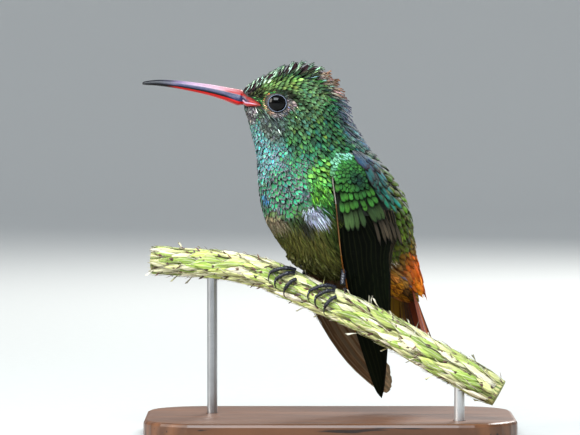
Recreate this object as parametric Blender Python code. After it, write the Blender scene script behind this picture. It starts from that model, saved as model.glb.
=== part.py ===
"""A rufous-tailed hummingbird, life size, sitting on a cut stem over a plain display stand.

The bird faces -X with its left side towards -Y, and +Z is up. The origin is the middle of the
underside of the stand's base. Sizes are in millimetres and become metres as a mesh is made.

Everything with a soft outline is a loft: closed rings of equal point counts, joined in order
and capped flat. The body's rings lie round rungs that run from its back to its breast. A wing's
or the tail's rings lie round rungs from one edge to the other. Toes, claws, legs and the stem
are round rings along a path.
"""
from collections import namedtuple
from math import cos, pi, radians, sin, tan

import bmesh
import bpy
import numpy as np

MM = 0.001                # metres in a millimetre
GAP = 0.3                 # clear space between neighbouring solids

# ------------------------------------------------------------------ stand
BASE_LENGTH, BASE_DEPTH, BASE_THICK = 86.0, 54.0, 4.5
BASE_CORNER, BASE_EDGE = 14.0, 0.8
CORNER_STEPS = 6
ROD_DIAMETER, ROD_SINK = 2.4, 1.8
ROD_SIDES = 16
ROD_PLACES = (("left", -27.5), ("right", 29.5))       # x of each rod

# ------------------------------------------------------------------ stem
STEM = ((-41.5, 8.4, 40.2), (-30.0, 5.9, 39.6), (-21.0, 3.7, 38.6), (-14.0, 1.2, 36.9),
        (-9.3, -1.1, 34.9), (-4.6, -3.4, 32.9), (0.0, -5.8, 31.0), (7.0, -9.2, 28.0),
        (16.3, -13.0, 23.3), (25.6, -15.4, 18.0), (38.5, -17.4, 10.8))
STEM_RADIUS = (2.9, 3.45)      # at its left and right cut ends
STEM_BRACTS, STEM_BRACT_RISE = 11, 0.28
STEM_SIDES = 12

# ------------------------------------------------------------------ body
# Rungs from the bill to the tail: (x, z) on the back, (x, z) on the breast, half the width,
# and the heading, which is how far the bird is turned from -X towards -Y, in degrees.
Rung = namedtuple("Rung", "place back breast half_width heading")
BODY = (
    Rung("bill root", (-20.3, 80.4), (-20.3, 76.5), 2.0, 5),
    Rung("lores", (-16.8, 82.8), (-19.4, 74.4), 4.3, 5),
    Rung("eye", (-13.4, 85.0), (-18.7, 71.9), 5.9, 5),
    Rung("crown", (-7.0, 86.7), (-17.8, 68.5), 7.3, 6),
    Rung("hind crown", (-0.4, 84.0), (-17.1, 65.0), 8.0, 10),
    Rung("nape", (3.5, 79.1), (-16.9, 61.5), 8.6, 15),
    Rung("neck", (5.6, 73.1), (-16.7, 58.0), 9.5, 20),
    Rung("shoulder", (9.6, 67.1), (-16.4, 54.5), 10.8, 25),
    Rung("mantle", (14.2, 62.0), (-15.6, 50.3), 11.8, 27),
    Rung("back", (17.8, 56.9), (-13.6, 46.2), 12.2, 28),
    Rung("belly", (19.9, 51.7), (-10.8, 42.4), 11.8, 28),
    Rung("flank", (20.6, 46.4), (-7.0, 39.2), 10.6, 28),
    Rung("vent", (20.9, 42.0), (-0.6, 36.4), 8.8, 28),
    Rung("rump", (21.3, 38.2), (7.2, 34.2), 6.6, 28),
    Rung("covert tips", (22.3, 33.2), (15.2, 31.0), 3.4, 28),
)
VENT_DEPTH = 5.6               # y of the body's middle at the vent
CROWN_TAPER = 0.14             # the back half of a ring is this much narrower than the front half
BODY_SIDES = 30
CUTS = ("nape", "mantle")      # the head ends at the first and the neck at the second
TAIL_CUT = "vent"              # the trunk ends behind it
CUT_WIDTH = 0.1                # in rungs; a rung apart is 3 to 7 mm

# ------------------------------------------------------------------ bill: x, z of its middle, depth
BILL = ((-21.0, 78.4, 3.85), (-24.5, 79.4, 3.1), (-28.6, 80.35, 2.55), (-35.0, 81.4, 1.95),
        (-39.5, 81.85, 1.5), (-42.4, 81.8, 1.0), (-43.2, 81.72, 0.66))
BILL_BASE_WIDTH, BILL_TIP_WIDTH = 4.2, 1.0
BILL_SLIT = 0.12               # between the mandibles, at the shut gape
BILL_HEADING = 5
BILL_SIDES = 10

# ------------------------------------------------------------------ eyes
EYE_RADIUS = 2.6
EYE_RUNG, EYE_ANGLE = 2.93, 93.5     # its place on the head's surface
EYE_SINK = 1.75                # from there in to the eye's middle

# ------------------------------------------------------------------ wings, shut along the flanks
# (x, y, z) of the leading edge, then of the rear edge, and how far the middle bulges outwards.
Chord = namedtuple("Chord", "place leading rear bulge")
WING = (
    Chord("top of bend", (3.4, -9.3, 66.0), (6.8, -6.5, 65.6), 0.3),
    Chord("bend", (1.0, -11.2, 64.0), (9.4, -6.0, 62.6), 1.2),
    Chord("coverts", (0.5, -12.2, 60.0), (11.8, -6.2, 58.0), 1.6),
    Chord("great coverts", (1.2, -12.4, 54.6), (13.6, -6.0, 53.2), 1.6),
    Chord("secondaries", (1.8, -11.6, 48.6), (14.8, -5.4, 48.4), 1.4),
    Chord("secondary tips", (2.6, -8.4, 41.5), (15.0, -4.0, 43.2), 1.2),
    Chord("primaries", (4.0, -4.4, 34.6), (13.9, -3.0, 37.2), 0.9),
    Chord("mid primaries", (5.2, -2.4, 26.6), (13.9, -1.6, 29.0), 0.6),
    Chord("outer primaries", (7.6, -1.0, 18.6), (13.4, -0.4, 20.2), 0.5),
    Chord("near tip", (10.1, 0.2, 11.2), (12.9, 0.5, 12.2), 0.3),
    Chord("tip", (11.8, 0.9, 8.2), (12.4, 1.0, 8.4), 0.0),
)
# The far wing mirrors the near one down to the secondary tips, and then swings forward.
FAR_WING_END = (
    Chord("primaries", (-5.9, 8.4, 36.0), (6.6, 15.4, 37.6), 0.9),
    Chord("mid primaries", (-4.1, 8.4, 29.2), (9.2, 14.0, 30.8), 0.7),
    Chord("outer primaries", (0.2, 8.4, 21.4), (11.8, 12.2, 23.4), 0.6),
    Chord("near tip", (4.7, 8.6, 15.4), (13.6, 10.8, 16.8), 0.4),
    Chord("tips", (9.4, 8.8, 11.0), (14.8, 10.0, 11.6), 0.2),
    Chord("last tip", (12.4, 9.0, 8.8), (14.3, 9.4, 9.0), 0.0),
)
MIRRORED_CHORDS = 6
WING_HALF_THICK = {"coverts": 0.75, "secondaries": 0.5, "primaries": 0.45}
COVERTS_END = 3.9              # in chords
SECONDARIES_TAPER = (4.8, 6.5) # they start to narrow at the first chord, to nothing at the second
PRIMARIES_SHARE = 0.56         # of the chord, beside the secondaries
WING_SLIT = 0.05               # share of the chord left open between the two
WING_SIDES = 16

# ------------------------------------------------------------------ tail, shut like a steep roof
# (x, z) along its ridge, the width of each side, and half the thickness
TAIL = ((18.4, 38.4, 3.0, 1.0), (19.9, 33.6, 5.4, 0.9), (21.8, 28.2, 7.2, 0.8),
        (23.7, 23.2, 7.8, 0.6), (25.2, 19.2, 6.8, 0.45))
TAIL_DROOP = 42                # how steeply each side falls from the ridge, in degrees
TAIL_FORK = 2.2                # how much longer the outer feathers are than the middle ones
TAIL_SIDES = 16

# ------------------------------------------------------------------ legs and feet
LEG_RADIUS, TOE_RADIUS, CLAW_RADIUS = 0.62, 0.48, 0.3
KNUCKLES = (("left", 1.3), ("right", -8.0))           # x of each foot on the stem
LEG_RISE, LEG_LEAN = 3.6, -0.8 # from the knuckle up into the belly, and along +X
# Each toe: its angle round the stem, 0 at the top and growing towards -Y, and its travel along
# the stem, where it starts and ends, and then where its claw ends.
Toe = namedtuple("Toe", "start start_travel end end_travel claw_end claw_travel")
TOES = (
    Toe(10, -1.0, 68, -4.8, 108, 0.9),
    Toe(31, -0.5, 78, -3.0, 116, 1.0),
    Toe(52, 0.6, 98, -0.6, 136, 0.6),
    Toe(-18, 0.3, -74, -0.7, -114, -0.8),
)
TOE_ARCH = 0.5                 # how far a toe's middle stands off the stem
TOE_SIDES = 7


def spline(values, stops):
    """Read a smooth curve through equally spaced values at the given stops (Catmull-Rom)."""
    values = np.asarray(values, float).reshape(len(values), -1)
    padded = np.vstack([2 * values[0] - values[1], values, 2 * values[-1] - values[-2]])
    stops = np.atleast_1d(np.asarray(stops, float))
    index = np.clip(stops.astype(int), 0, len(values) - 2)
    f = (stops - index)[:, None]
    p0, p1, p2, p3 = (padded[index + k] for k in range(4))
    cubic = -p0 + 3 * p1 - 3 * p2 + p3
    square = 2 * p0 - 5 * p1 + 4 * p2 - p3
    return 0.5 * (2 * p1 + (p2 - p0) * f + square * f ** 2 + cubic * f ** 3)


def unit(vectors):
    """The same directions at length 1."""
    return vectors / np.linalg.norm(vectors, axis=-1, keepdims=True)


def station(stations, place):
    """The number of a named rung or chord."""
    return [each.place for each in stations].index(place)


# ------------------------------------------------------------------ materials and meshes
def material(name, colour, roughness=0.6, metallic=0.0):
    """A Principled material in one plain colour."""
    made = bpy.data.materials.new(name)
    made.use_nodes = True
    shader = made.node_tree.nodes["Principled BSDF"]
    shader.inputs["Base Color"].default_value = (*colour, 1.0)
    shader.inputs["Roughness"].default_value = roughness
    shader.inputs["Metallic"].default_value = metallic
    return made


def add_object(name, mesh, finish):
    """Link a mesh to the scene as a smooth shaded object, facing outwards."""
    build = bmesh.new()
    build.from_mesh(mesh)
    bmesh.ops.recalc_face_normals(build, faces=build.faces)
    build.to_mesh(mesh)
    build.free()
    mesh.shade_smooth()
    mesh.set_sharp_from_angle(angle=radians(40))
    if finish:
        mesh.materials.append(finish)
    made = bpy.data.objects.new(name, mesh)
    bpy.context.scene.collection.objects.link(made)
    return made


def loft(name, rings, finish=None):
    """A closed solid through rings, an array of (ring, point, xyz), with a cap at each end."""
    count, sides = rings.shape[:2]
    row, column = np.meshgrid(np.arange(count - 1), np.arange(sides), indexing="ij")
    after = (column + 1) % sides
    walls = np.stack([row * sides + column, row * sides + after,
                      (row + 1) * sides + after, (row + 1) * sides + column], -1)
    faces = walls.reshape(-1, 4).tolist()
    faces += [list(range(sides)), list(range((count - 1) * sides, count * sides))]
    mesh = bpy.data.meshes.new(name)
    mesh.from_pydata((rings.reshape(-1, 3) * MM).tolist(), [], faces)
    return add_object(name, mesh, finish)


def cutter(made):
    """Mark an object as a tool that is not part of the model."""
    made.hide_render = True
    made.display_type = "WIRE"
    return made


def cut(target, *tools):
    """Take each tool's shape out of the target."""
    for tool in tools:
        modifier = target.modifiers.new("cut_" + tool.name, "BOOLEAN")
        modifier.operation = "DIFFERENCE"
        modifier.solver = "EXACT"
        modifier.object = cutter(tool)


def tube_rings(path, radii, sides):
    """Round rings square to a path, set out from the axis that the path runs along least."""
    along = unit(np.gradient(path, axis=0))
    steadiest = np.abs(along).max(axis=0).argmin()
    first = unit(np.cross(along, np.eye(3)[steadiest]))
    second = np.cross(along, first)
    angle = np.linspace(0, 2 * pi, sides, endpoint=False)[None, :, None]
    spread = first[:, None] * np.cos(angle) + second[:, None] * np.sin(angle)
    return path[:, None] + spread * np.asarray(radii).reshape(-1, 1, 1)


# ------------------------------------------------------------------ the body's surface
def body_middle(stops):
    """Depth of the body's middle: it moves by tan(heading) for each step along X."""
    dense = np.linspace(0, len(BODY) - 1, 1401)
    middle = (spline([r.back for r in BODY], dense) + spline([r.breast for r in BODY], dense)) / 2
    slope = np.tan(np.radians(spline([r.heading for r in BODY], dense)[:, 0]))
    steps = (slope[1:] + slope[:-1]) / 2 * np.diff(middle[:, 0])
    depth = np.concatenate([[0.0], np.cumsum(steps)])
    depth += VENT_DEPTH - np.interp(station(BODY, "vent"), dense, depth)
    return np.interp(stops, dense, depth)


def body_point(stops, angles):
    """Points on the body: an oval round each rung, at angle 0 on the back and 180 on the breast.

    Angles up to 180 degrees run down the bird's left side, and the rest up its right side.
    """
    back = spline([r.back for r in BODY], stops)
    breast = spline([r.breast for r in BODY], stops)
    width = spline([r.half_width for r in BODY], stops)[:, 0]
    heading = np.radians(spline([r.heading for r in BODY], stops)[:, 0])
    half, middle = (back - breast) / 2, (back + breast) / 2
    centre = np.stack([middle[:, 0], body_middle(stops), middle[:, 1]], -1)
    up = np.stack([half[:, 0] * np.cos(heading), half[:, 0] * np.sin(heading), half[:, 1]], -1)
    left = np.stack([np.sin(heading), -np.cos(heading), 0 * heading], -1)
    side = (width * np.sin(angles) * (1 - CROWN_TAPER * np.cos(angles)))[:, None]
    return centre + up * np.cos(angles)[:, None] + left * side


def body_rings(first, last, count):
    """Rings of the body from one stop to another."""
    stops = np.linspace(first, last, count)
    angles = np.linspace(0, 2 * pi, BODY_SIDES, endpoint=False)
    grid = np.meshgrid(stops, angles, indexing="ij")
    return body_point(grid[0].ravel(), grid[1].ravel()).reshape(count, BODY_SIDES, 3)


def trunk_frame():
    """The trunk's middle and the direction to its left."""
    heading = radians(BODY[station(BODY, "back")].heading)
    back, breast = BODY[station(BODY, "back")][1:3]
    middle = np.array([(back[0] + breast[0]) / 2, 0.0, (back[1] + breast[1]) / 2])
    middle[1] = body_middle([station(BODY, "back")])[0]
    return middle, np.array([sin(heading), -cos(heading), 0.0])


# ------------------------------------------------------------------ head, neck and trunk
def eye_middles():
    """The middles of the left and right eye, just inside the feathered surface."""
    angle = radians(EYE_ANGLE)
    left, right = body_point(np.array([EYE_RUNG, EYE_RUNG]), np.array([angle, -angle]))
    inwards = unit(right - left) * EYE_SINK
    return {"left": left + inwards, "right": right - inwards}


def ball(name, middle, radius, finish=None):
    """A round ball."""
    build = bmesh.new()
    bmesh.ops.create_uvsphere(build, u_segments=14, v_segments=8, radius=radius * MM)
    bmesh.ops.translate(build, verts=build.verts, vec=middle * MM)
    mesh = bpy.data.meshes.new(name)
    build.to_mesh(mesh)
    build.free()
    return add_object(name, mesh, finish)


def make_body(finishes):
    """Head, neck and trunk, with thin cuts between them, and sockets for all that they carry."""
    nape, mantle = (station(BODY, place) for place in CUTS)
    vent = station(BODY, TAIL_CUT)
    head = loft("head", body_rings(0, nape, 14), finishes["crown"])
    neck = loft("neck", body_rings(nape + CUT_WIDTH, mantle, 9), finishes["throat"])
    trunk = loft("trunk", body_rings(mantle + CUT_WIDTH, vent, 12), finishes["back"])
    rump = loft("rump_and_tail_coverts", body_rings(vent + CUT_WIDTH, len(BODY) - 1, 8),
                finishes["rufous"])
    return head, neck, trunk, rump


def make_eyes(head, finishes):
    """Both eyeballs, each in a socket of the head."""
    for side, middle in eye_middles().items():
        cut(head, ball(f"socket_{side}", middle, EYE_RADIUS + GAP))
        ball(f"eye_{side}", middle, EYE_RADIUS, finishes["eye"])


def make_bill(finishes):
    """Two mandibles, each a half round that is flat along the shut gape."""
    stops = np.linspace(0, len(BILL) - 1, 13)
    x, z, depth = spline(BILL, stops).T
    heading = radians(BILL_HEADING)
    root = body_point(np.array([0.0, 0.0]), np.array([0.0, pi])).mean(axis=0)
    share = (x - BILL[0][0]) / (BILL[-1][0] - BILL[0][0])
    width = BILL_BASE_WIDTH + (BILL_TIP_WIDTH - BILL_BASE_WIDTH) * share ** 0.7
    path = np.stack([x, root[1] + (x - root[0]) * tan(heading), z], -1)
    along = unit(np.gradient(path, axis=0))
    side = np.array([sin(heading), -cos(heading), 0.0])
    above = unit(np.cross(along, side))
    above *= np.sign(above[:, 2:])
    angle = np.linspace(0, pi, BILL_SIDES)[None, :, None]
    for name, way in (("bill_upper", 1), ("bill_lower", -1)):
        rise = above[:, None] * (np.sin(angle) * (depth[:, None, None] - BILL_SLIT) / 2 + BILL_SLIT / 2)
        across = side * np.cos(angle) * width[:, None, None] / 2
        loft(name, path[:, None] + way * rise + across, finishes[name])


# ------------------------------------------------------------------ wings and tail
def wing_chords(side):
    """The chords of one wing: arrays of leading edge, rear edge and bulge."""
    leading, rear = np.array([c.leading for c in WING]), np.array([c.rear for c in WING])
    bulge = np.array([c.bulge for c in WING])
    if side == "left":
        return leading, rear, bulge
    middle, left = trunk_frame()
    edges = []
    for edge, tips in ((leading, [c.leading for c in FAR_WING_END]), (rear, [c.rear for c in FAR_WING_END])):
        mirrored = edge - 2 * ((edge - middle) @ left)[:, None] * left
        edges.append(np.vstack([mirrored[:MIRRORED_CHORDS], tips]))
    return *edges, np.concatenate([bulge[:MIRRORED_CHORDS], [c.bulge for c in FAR_WING_END]])


def wing_rings(side, first, last, count, share, half_thick, grow=0.0):
    """Flat oval rings of part of a wing, from one chord to another.

    share(stops) gives the near and far share of the chord that the part takes.
    """
    stops = np.linspace(first, last, count)
    leading, rear, bulge = (spline(values, stops) for values in wing_chords(side))
    near, far = (np.broadcast_to(each, stops.shape)[:, None] for each in share(stops))
    along = unit(np.gradient((leading + rear) / 2, axis=0))
    outward = unit(np.cross(along, rear - leading))
    outward *= np.sign(outward @ trunk_frame()[1])[:, None] * (1 if side == "left" else -1)
    angle = np.linspace(0, 2 * pi, WING_SIDES, endpoint=False)
    across = near + (far - near) * ((1 - np.cos(angle)) / 2)[None, :]
    lift = bulge * 4 * across * (1 - across)
    lift = lift + np.sign(np.sin(angle)) * np.abs(np.sin(angle)) ** 0.55 * (half_thick + grow)
    swell = unit(rear - leading)[:, None] * (-np.cos(angle))[None, :, None] * grow
    return leading[:, None] + (rear - leading)[:, None] * across[..., None] + swell + (
        outward[:, None] * lift[..., None])


def whole_chord(stops):
    """The part takes the chord from edge to edge."""
    return 0.0, 1.0


def primaries_edge(stops):
    """Share of the chord where primaries meet secondaries: it slants back to the rear edge."""
    return np.interp(stops, SECONDARIES_TAPER, (PRIMARIES_SHARE, 1 + WING_SLIT / 2))


def primaries_share(stops):
    """Primaries lie ahead of the secondaries and take the whole chord past their tips."""
    return 0.0, primaries_edge(stops) - WING_SLIT / 2


def secondaries_share(stops):
    """Secondaries lie behind the primaries."""
    return primaries_edge(stops) + WING_SLIT / 2, 1.0


def make_wings(solids, finishes):
    """Each wing as coverts, secondaries and primaries, let into the sides of the given solids."""
    after_coverts = COVERTS_END + 0.08
    for side in ("left", "right"):
        end = len(wing_chords(side)[2]) - 1
        parts = {
            "coverts": (0, COVERTS_END, 8, whole_chord),
            "primaries": (after_coverts, end, 14, primaries_share),
            "secondaries": (after_coverts, SECONDARIES_TAPER[1] - 0.25, 6, secondaries_share),
        }
        for part, span in parts.items():
            rings = wing_rings(side, *span, WING_HALF_THICK[part])
            loft(f"wing_{side}_{part}", rings, finishes[part])
        bed = wing_rings(side, 0, end, 20, whole_chord, WING_HALF_THICK["coverts"], GAP)
        tool = loft(f"wing_bed_{side}", bed)
        for solid in solids:
            cut(solid, tool)


def make_tail(rump, finishes):
    """The two sloping sides of the shut tail, their roots inside the coverts."""
    left = trunk_frame()[1]
    stops = np.linspace(0, len(TAIL) - 1, 10)
    x, z, width, half_thick = spline(TAIL, stops).T
    vent = body_point([station(BODY, "vent")] * 2, np.array([0.0, pi])).mean(axis=0)
    path = np.stack([x, vent[1] + (x - vent[0]) * tan(radians(BODY[-1].heading)), z], -1)
    along = unit(np.gradient(path, axis=0))
    under = np.cross(along, left)
    angle = np.linspace(0, 2 * pi, TAIL_SIDES, endpoint=False)
    droop = radians(TAIL_DROOP)
    for side, way in (("left", 1), ("right", -1)):
        across = way * left * cos(droop) + under * sin(droop)
        above = way * left * sin(droop) - under * cos(droop)
        for name, grow in ((f"tail_{side}", 0.0), (f"tail_bed_{side}", GAP)):
            inner = GAP + half_thick * 0.7
            share = (width + inner)[:, None] / 2 - ((width - inner)[:, None] / 2 + grow) * np.cos(angle)
            lift = np.sign(np.sin(angle)) * np.abs(np.sin(angle)) ** 0.6 * (half_thick[:, None] + grow)
            longer = TAIL_FORK * share / width.max() * (stops / stops[-1])[:, None]
            made = loft(name, path[:, None] + across[:, None] * share[..., None]
                        + above[:, None] * lift[..., None] + along[:, None] * longer[..., None],
                        None if grow else finishes["rufous"])
            if grow:
                cut(rump, made)


# ------------------------------------------------------------------ stem, feet and stand
def stem_path(x):
    """The stem's middle line at the given x."""
    dense = np.linspace(0, len(STEM) - 1, 401)
    return spline(STEM, np.interp(x, spline(STEM, dense)[:, 0], dense))


def stem_radius(x):
    """The stem's radius at the given x, without its bracts."""
    return np.interp(x, (STEM[0][0], STEM[-1][0]), STEM_RADIUS)


def stem_rings(first, last, count, grow):
    """Plain round rings of the stem, grown by a clearance."""
    x = np.linspace(first, last, count)
    return tube_rings(stem_path(x), stem_radius(x) + grow, STEM_SIDES)


def round_the_stem(x, angles, stand_off):
    """Points round the stem: angle 0 is its top, and it grows towards -Y."""
    path = stem_path(x)
    ahead = stem_path(x + 0.5) - stem_path(x - 0.5)
    along = unit(ahead)
    top = unit(np.array([0.0, 0.0, 1.0]) - along * along[:, 2:])
    side = np.cross(top, along)
    side *= -np.sign(side[:, 1:2])
    reach = (stem_radius(x) + stand_off)[:, None]
    return path + reach * (top * np.cos(angles)[:, None] + side * np.sin(angles)[:, None])


def make_stem(finishes):
    """The cut stem, each bract a low step along it."""
    x = np.linspace(STEM[0][0], STEM[-1][0], 3 * STEM_BRACTS + 1)
    step = (np.arange(len(x)) % 3) / 2 - 1
    return loft("perch_stem", tube_rings(stem_path(x), stem_radius(x) + step * STEM_BRACT_RISE, STEM_SIDES),
                finishes["stem"])


def make_feet(trunk, finishes):
    """Two legs, four toes on each foot and a claw on each toe."""
    share = np.linspace(0, 1, 7)
    arch = np.sin(share * pi)
    for side, knuckle_x in KNUCKLES:
        off = GAP + TOE_RADIUS
        low = round_the_stem(np.array([knuckle_x]), np.zeros(1), off + TOE_RADIUS + LEG_RADIUS)[0]
        high = low + np.array([LEG_LEAN, 0, LEG_RISE])
        for name, grow in ((f"leg_{side}", 0.0), (f"leg_bed_{side}", GAP)):
            path = low + (high - low) * np.linspace(0, 1 + grow * 0.2, 6)[:, None]
            made = loft(name, tube_rings(path, np.full(6, LEG_RADIUS + grow), TOE_SIDES),
                        None if grow else finishes["foot"])
            if grow:
                cut(trunk, made)
        for number, toe in enumerate(TOES, 1):
            x = knuckle_x + toe.start_travel + (toe.end_travel - toe.start_travel) * share
            angles = np.radians(toe.start + (toe.end - toe.start) * share)
            path = round_the_stem(x, angles, off + TOE_ARCH * arch)
            loft(f"toe_{side}_{number}", tube_rings(path, TOE_RADIUS * (1 - 0.15 * share), TOE_SIDES),
                 finishes["foot"])
            make_claw(f"claw_{side}_{number}", knuckle_x + toe.end_travel, toe, off, finishes["claw"])
        rings = stem_rings(knuckle_x - 7.2, knuckle_x + 3.4, 8, GAP + 2 * TOE_RADIUS + TOE_ARCH)
        cut(trunk, loft(f"foot_room_{side}", rings))


def make_claw(name, x_start, toe, off, finish):
    """A claw that hooks on from the end of its toe to a point just off the stem."""
    share = np.linspace(0, 1, 6)
    way = 1 if toe.end > 0 else -1
    angles = np.radians(toe.end + way * 9 + (toe.claw_end - toe.end - way * 9) * share)
    x = x_start + toe.claw_travel * share ** 1.5
    stand_off = off * (1 - share) + (GAP + 0.1) * share + 0.55 * np.sin(share * pi)
    path = round_the_stem(x, angles, stand_off)
    return loft(name, tube_rings(path, CLAW_RADIUS * (1 - 0.75 * share), 6), finish)


def make_base(finishes):
    """A flat plate with round corners and a softened edge, its underside at z = 0."""
    build = bmesh.new()
    corners = []
    for quarter, (way_x, way_y) in enumerate(((1, 1), (-1, 1), (-1, -1), (1, -1))):
        for step in range(CORNER_STEPS + 1):
            angle = (quarter + step / CORNER_STEPS) * pi / 2
            corners.append(((way_x * (BASE_LENGTH / 2 - BASE_CORNER) + BASE_CORNER * cos(angle)) * MM,
                            (way_y * (BASE_DEPTH / 2 - BASE_CORNER) + BASE_CORNER * sin(angle)) * MM,
                            0.0))
    outline = build.faces.new([build.verts.new(corner) for corner in corners])
    top = bmesh.ops.extrude_face_region(build, geom=[outline])
    moved = [each for each in top["geom"] if isinstance(each, bmesh.types.BMVert)]
    bmesh.ops.translate(build, verts=moved, vec=(0, 0, BASE_THICK * MM))
    mesh = bpy.data.meshes.new("stand_base")
    build.to_mesh(mesh)
    build.free()
    base = add_object("stand_base", mesh, finishes["base"])
    soften = base.modifiers.new("soft_edge", "BEVEL")
    soften.width = BASE_EDGE * MM
    soften.segments = 2
    soften.limit_method = "ANGLE"
    soften.angle_limit = radians(60)
    return base


def make_rods(base, stem, finishes):
    """Upright rods, each let into the base and into the underside of the stem."""
    for side, x in ROD_PLACES:
        foot = stem_path(np.array([x]))[0]
        under = foot[2] - stem_radius(x) - STEM_BRACT_RISE
        low, high = BASE_THICK - ROD_SINK, under + ROD_SINK
        for name, grow in ((f"stand_rod_{side}", 0.0), (f"rod_hole_{side}", GAP)):
            ends = np.array([[foot[0], foot[1], low - grow], [foot[0], foot[1], high + grow]])
            rings = tube_rings(ends, [ROD_DIAMETER / 2 + grow] * 2, ROD_SIDES)
            made = loft(name, rings, None if grow else finishes["rod"])
            if grow:
                cut(base, made)
                cut(stem, made)


def finish_table():
    """One material for each kind of surface."""
    return {
        "crown": material("crown_feathers", (0.05, 0.16, 0.07), 0.45),
        "throat": material("throat_feathers", (0.04, 0.26, 0.17), 0.4),
        "back": material("back_feathers", (0.08, 0.22, 0.06), 0.45),
        "rufous": material("rufous_feathers", (0.45, 0.13, 0.03), 0.5),
        "coverts": material("wing_coverts", (0.03, 0.2, 0.1), 0.4),
        "secondaries": material("wing_secondaries", (0.03, 0.03, 0.03), 0.45),
        "primaries": material("wing_primaries", (0.04, 0.03, 0.03), 0.45),
        "bill_upper": material("upper_mandible", (0.2, 0.05, 0.05), 0.35),
        "bill_lower": material("lower_mandible", (0.55, 0.05, 0.03), 0.35),
        "eye": material("eye_gloss", (0.008, 0.006, 0.006), 0.05),
        "foot": material("foot_scales", (0.03, 0.03, 0.045), 0.5),
        "claw": material("claw_horn", (0.01, 0.01, 0.015), 0.25),
        "stem": material("stem_bracts", (0.42, 0.45, 0.2), 0.7),
        "base": material("stand_base_wood", (0.12, 0.07, 0.04), 0.4),
        "rod": material("stand_rod_steel", (0.6, 0.6, 0.6), 0.3, 1.0),
    }


def main():
    """Clear the scene and build the bird, its perch and its stand."""
    for old in list(bpy.data.objects):
        bpy.data.objects.remove(old)
    finishes = finish_table()
    head, neck, trunk, rump = make_body(finishes)
    make_eyes(head, finishes)
    make_bill(finishes)
    make_wings((trunk, neck, rump), finishes)
    make_tail(rump, finishes)
    stem = make_stem(finishes)
    cut(trunk, loft("stem_bed", stem_rings(-16, 20, 14, GAP)))
    cut(rump, loft("stem_bed_rump", stem_rings(-16, 20, 14, GAP)))
    make_feet(trunk, finishes)
    make_rods(make_base(finishes), stem, finishes)


main()
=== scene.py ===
"""The looks of a rufous-tailed hummingbird on its display stand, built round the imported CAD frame.

The bird faces -X with its left side towards -Y and +Z up. Sizes are in millimetres until a mesh
is made. Every shape is a surface of two parameters, worked out as whole arrays: the body, a wing,
a side of the tail and the stem are sheets, and each feather, bract or scale lies along its sheet.
"""
import logging
from dataclasses import dataclass, field
from enum import Enum
from math import cos, pi, radians, sin, tan
from typing import Callable

import bpy
import numpy as np
from mathutils import Matrix, Vector


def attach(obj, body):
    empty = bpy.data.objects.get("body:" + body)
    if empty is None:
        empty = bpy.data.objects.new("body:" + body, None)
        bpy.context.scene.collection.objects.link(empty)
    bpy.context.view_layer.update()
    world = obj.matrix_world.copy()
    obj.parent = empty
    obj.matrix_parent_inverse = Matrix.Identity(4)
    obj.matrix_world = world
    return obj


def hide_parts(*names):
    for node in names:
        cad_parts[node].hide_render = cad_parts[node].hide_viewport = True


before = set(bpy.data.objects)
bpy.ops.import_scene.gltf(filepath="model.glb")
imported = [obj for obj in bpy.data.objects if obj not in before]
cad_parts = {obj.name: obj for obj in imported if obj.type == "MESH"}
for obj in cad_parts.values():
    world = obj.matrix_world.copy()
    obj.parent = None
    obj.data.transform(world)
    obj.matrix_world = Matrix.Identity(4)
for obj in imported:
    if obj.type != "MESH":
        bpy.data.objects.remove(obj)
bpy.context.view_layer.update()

Array = np.ndarray
Pair = tuple[float, float]
Triple = tuple[float, float, float]
Colour = tuple[int, int, int]  # a display colour, each part from 0 to 255
Socket = bpy.types.NodeSocket
Material = bpy.types.Material
log = logging.getLogger("hummingbird")

MM = 0.001                     # metres in a millimetre
BODY_NAME = "root"             # the one body that every piece rides on
PATCH = 0.003                  # side of a feather's patch on the unwrap of its sheet
UP = np.array([0.0, 0.0, 1.0])


# ------------------------------------------------------------------ arrays
def spline(values: Array, stops: Array) -> Array:
    """Read a smooth curve through equally spaced values (Catmull-Rom).

    Args:
        values: the curve's values, one row for each stop.
        stops: where to read it, counted in rows, in an array of any shape.

    Returns:
        An array of the stops' shape with one more axis for the values' columns.
    """
    values = np.asarray(values, float).reshape(len(values), -1)
    padded = np.vstack([2 * values[0] - values[1], values, 2 * values[-1] - values[-2]])
    stops = np.asarray(stops, float)
    index = np.clip(stops.astype(int), 0, len(values) - 2)
    f = (stops - index)[..., None]
    p0, p1, p2, p3 = (padded[index + k] for k in range(4))
    cubic = -p0 + 3 * p1 - 3 * p2 + p3
    square = 2 * p0 - 5 * p1 + 4 * p2 - p3
    return 0.5 * (2 * p1 + (p2 - p0) * f + square * f ** 2 + cubic * f ** 3)


def between(table: Array, place: Array) -> tuple[Array, Array]:
    """A table read at fractional row numbers, and the step from the row before to the next.

    Args:
        table: one row for each whole number.
        place: row numbers, whole or not.

    Returns:
        The values and the steps.
    """
    index = np.clip(place.astype(int), 0, len(table) - 2)
    share = (place - index)[..., None]
    return table[index] * (1 - share) + table[index + 1] * share, table[index + 1] - table[index]


def unit(vectors: Array) -> Array:
    """The same directions at length 1."""
    return vectors / np.maximum(np.linalg.norm(vectors, axis=-1, keepdims=True), 1e-9)


def dot(one: Array, other: Array) -> Array:
    """Products of matching vectors, keeping the last axis as one column."""
    return (one * other).sum(axis=-1, keepdims=True)


def smooth(low: float, high: float, values: Array) -> Array:
    """A smooth step from 0 at low to 1 at high."""
    share = np.clip((np.asarray(values, float) - low) / (high - low), 0.0, 1.0)
    return share * share * (3 - 2 * share)


def folded(across: Array) -> Array:
    """Angles round the body or stem as a turn from 0 to pi from the back, the same on both sides."""
    return np.abs((across + pi) % (2 * pi) - pi)


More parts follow.
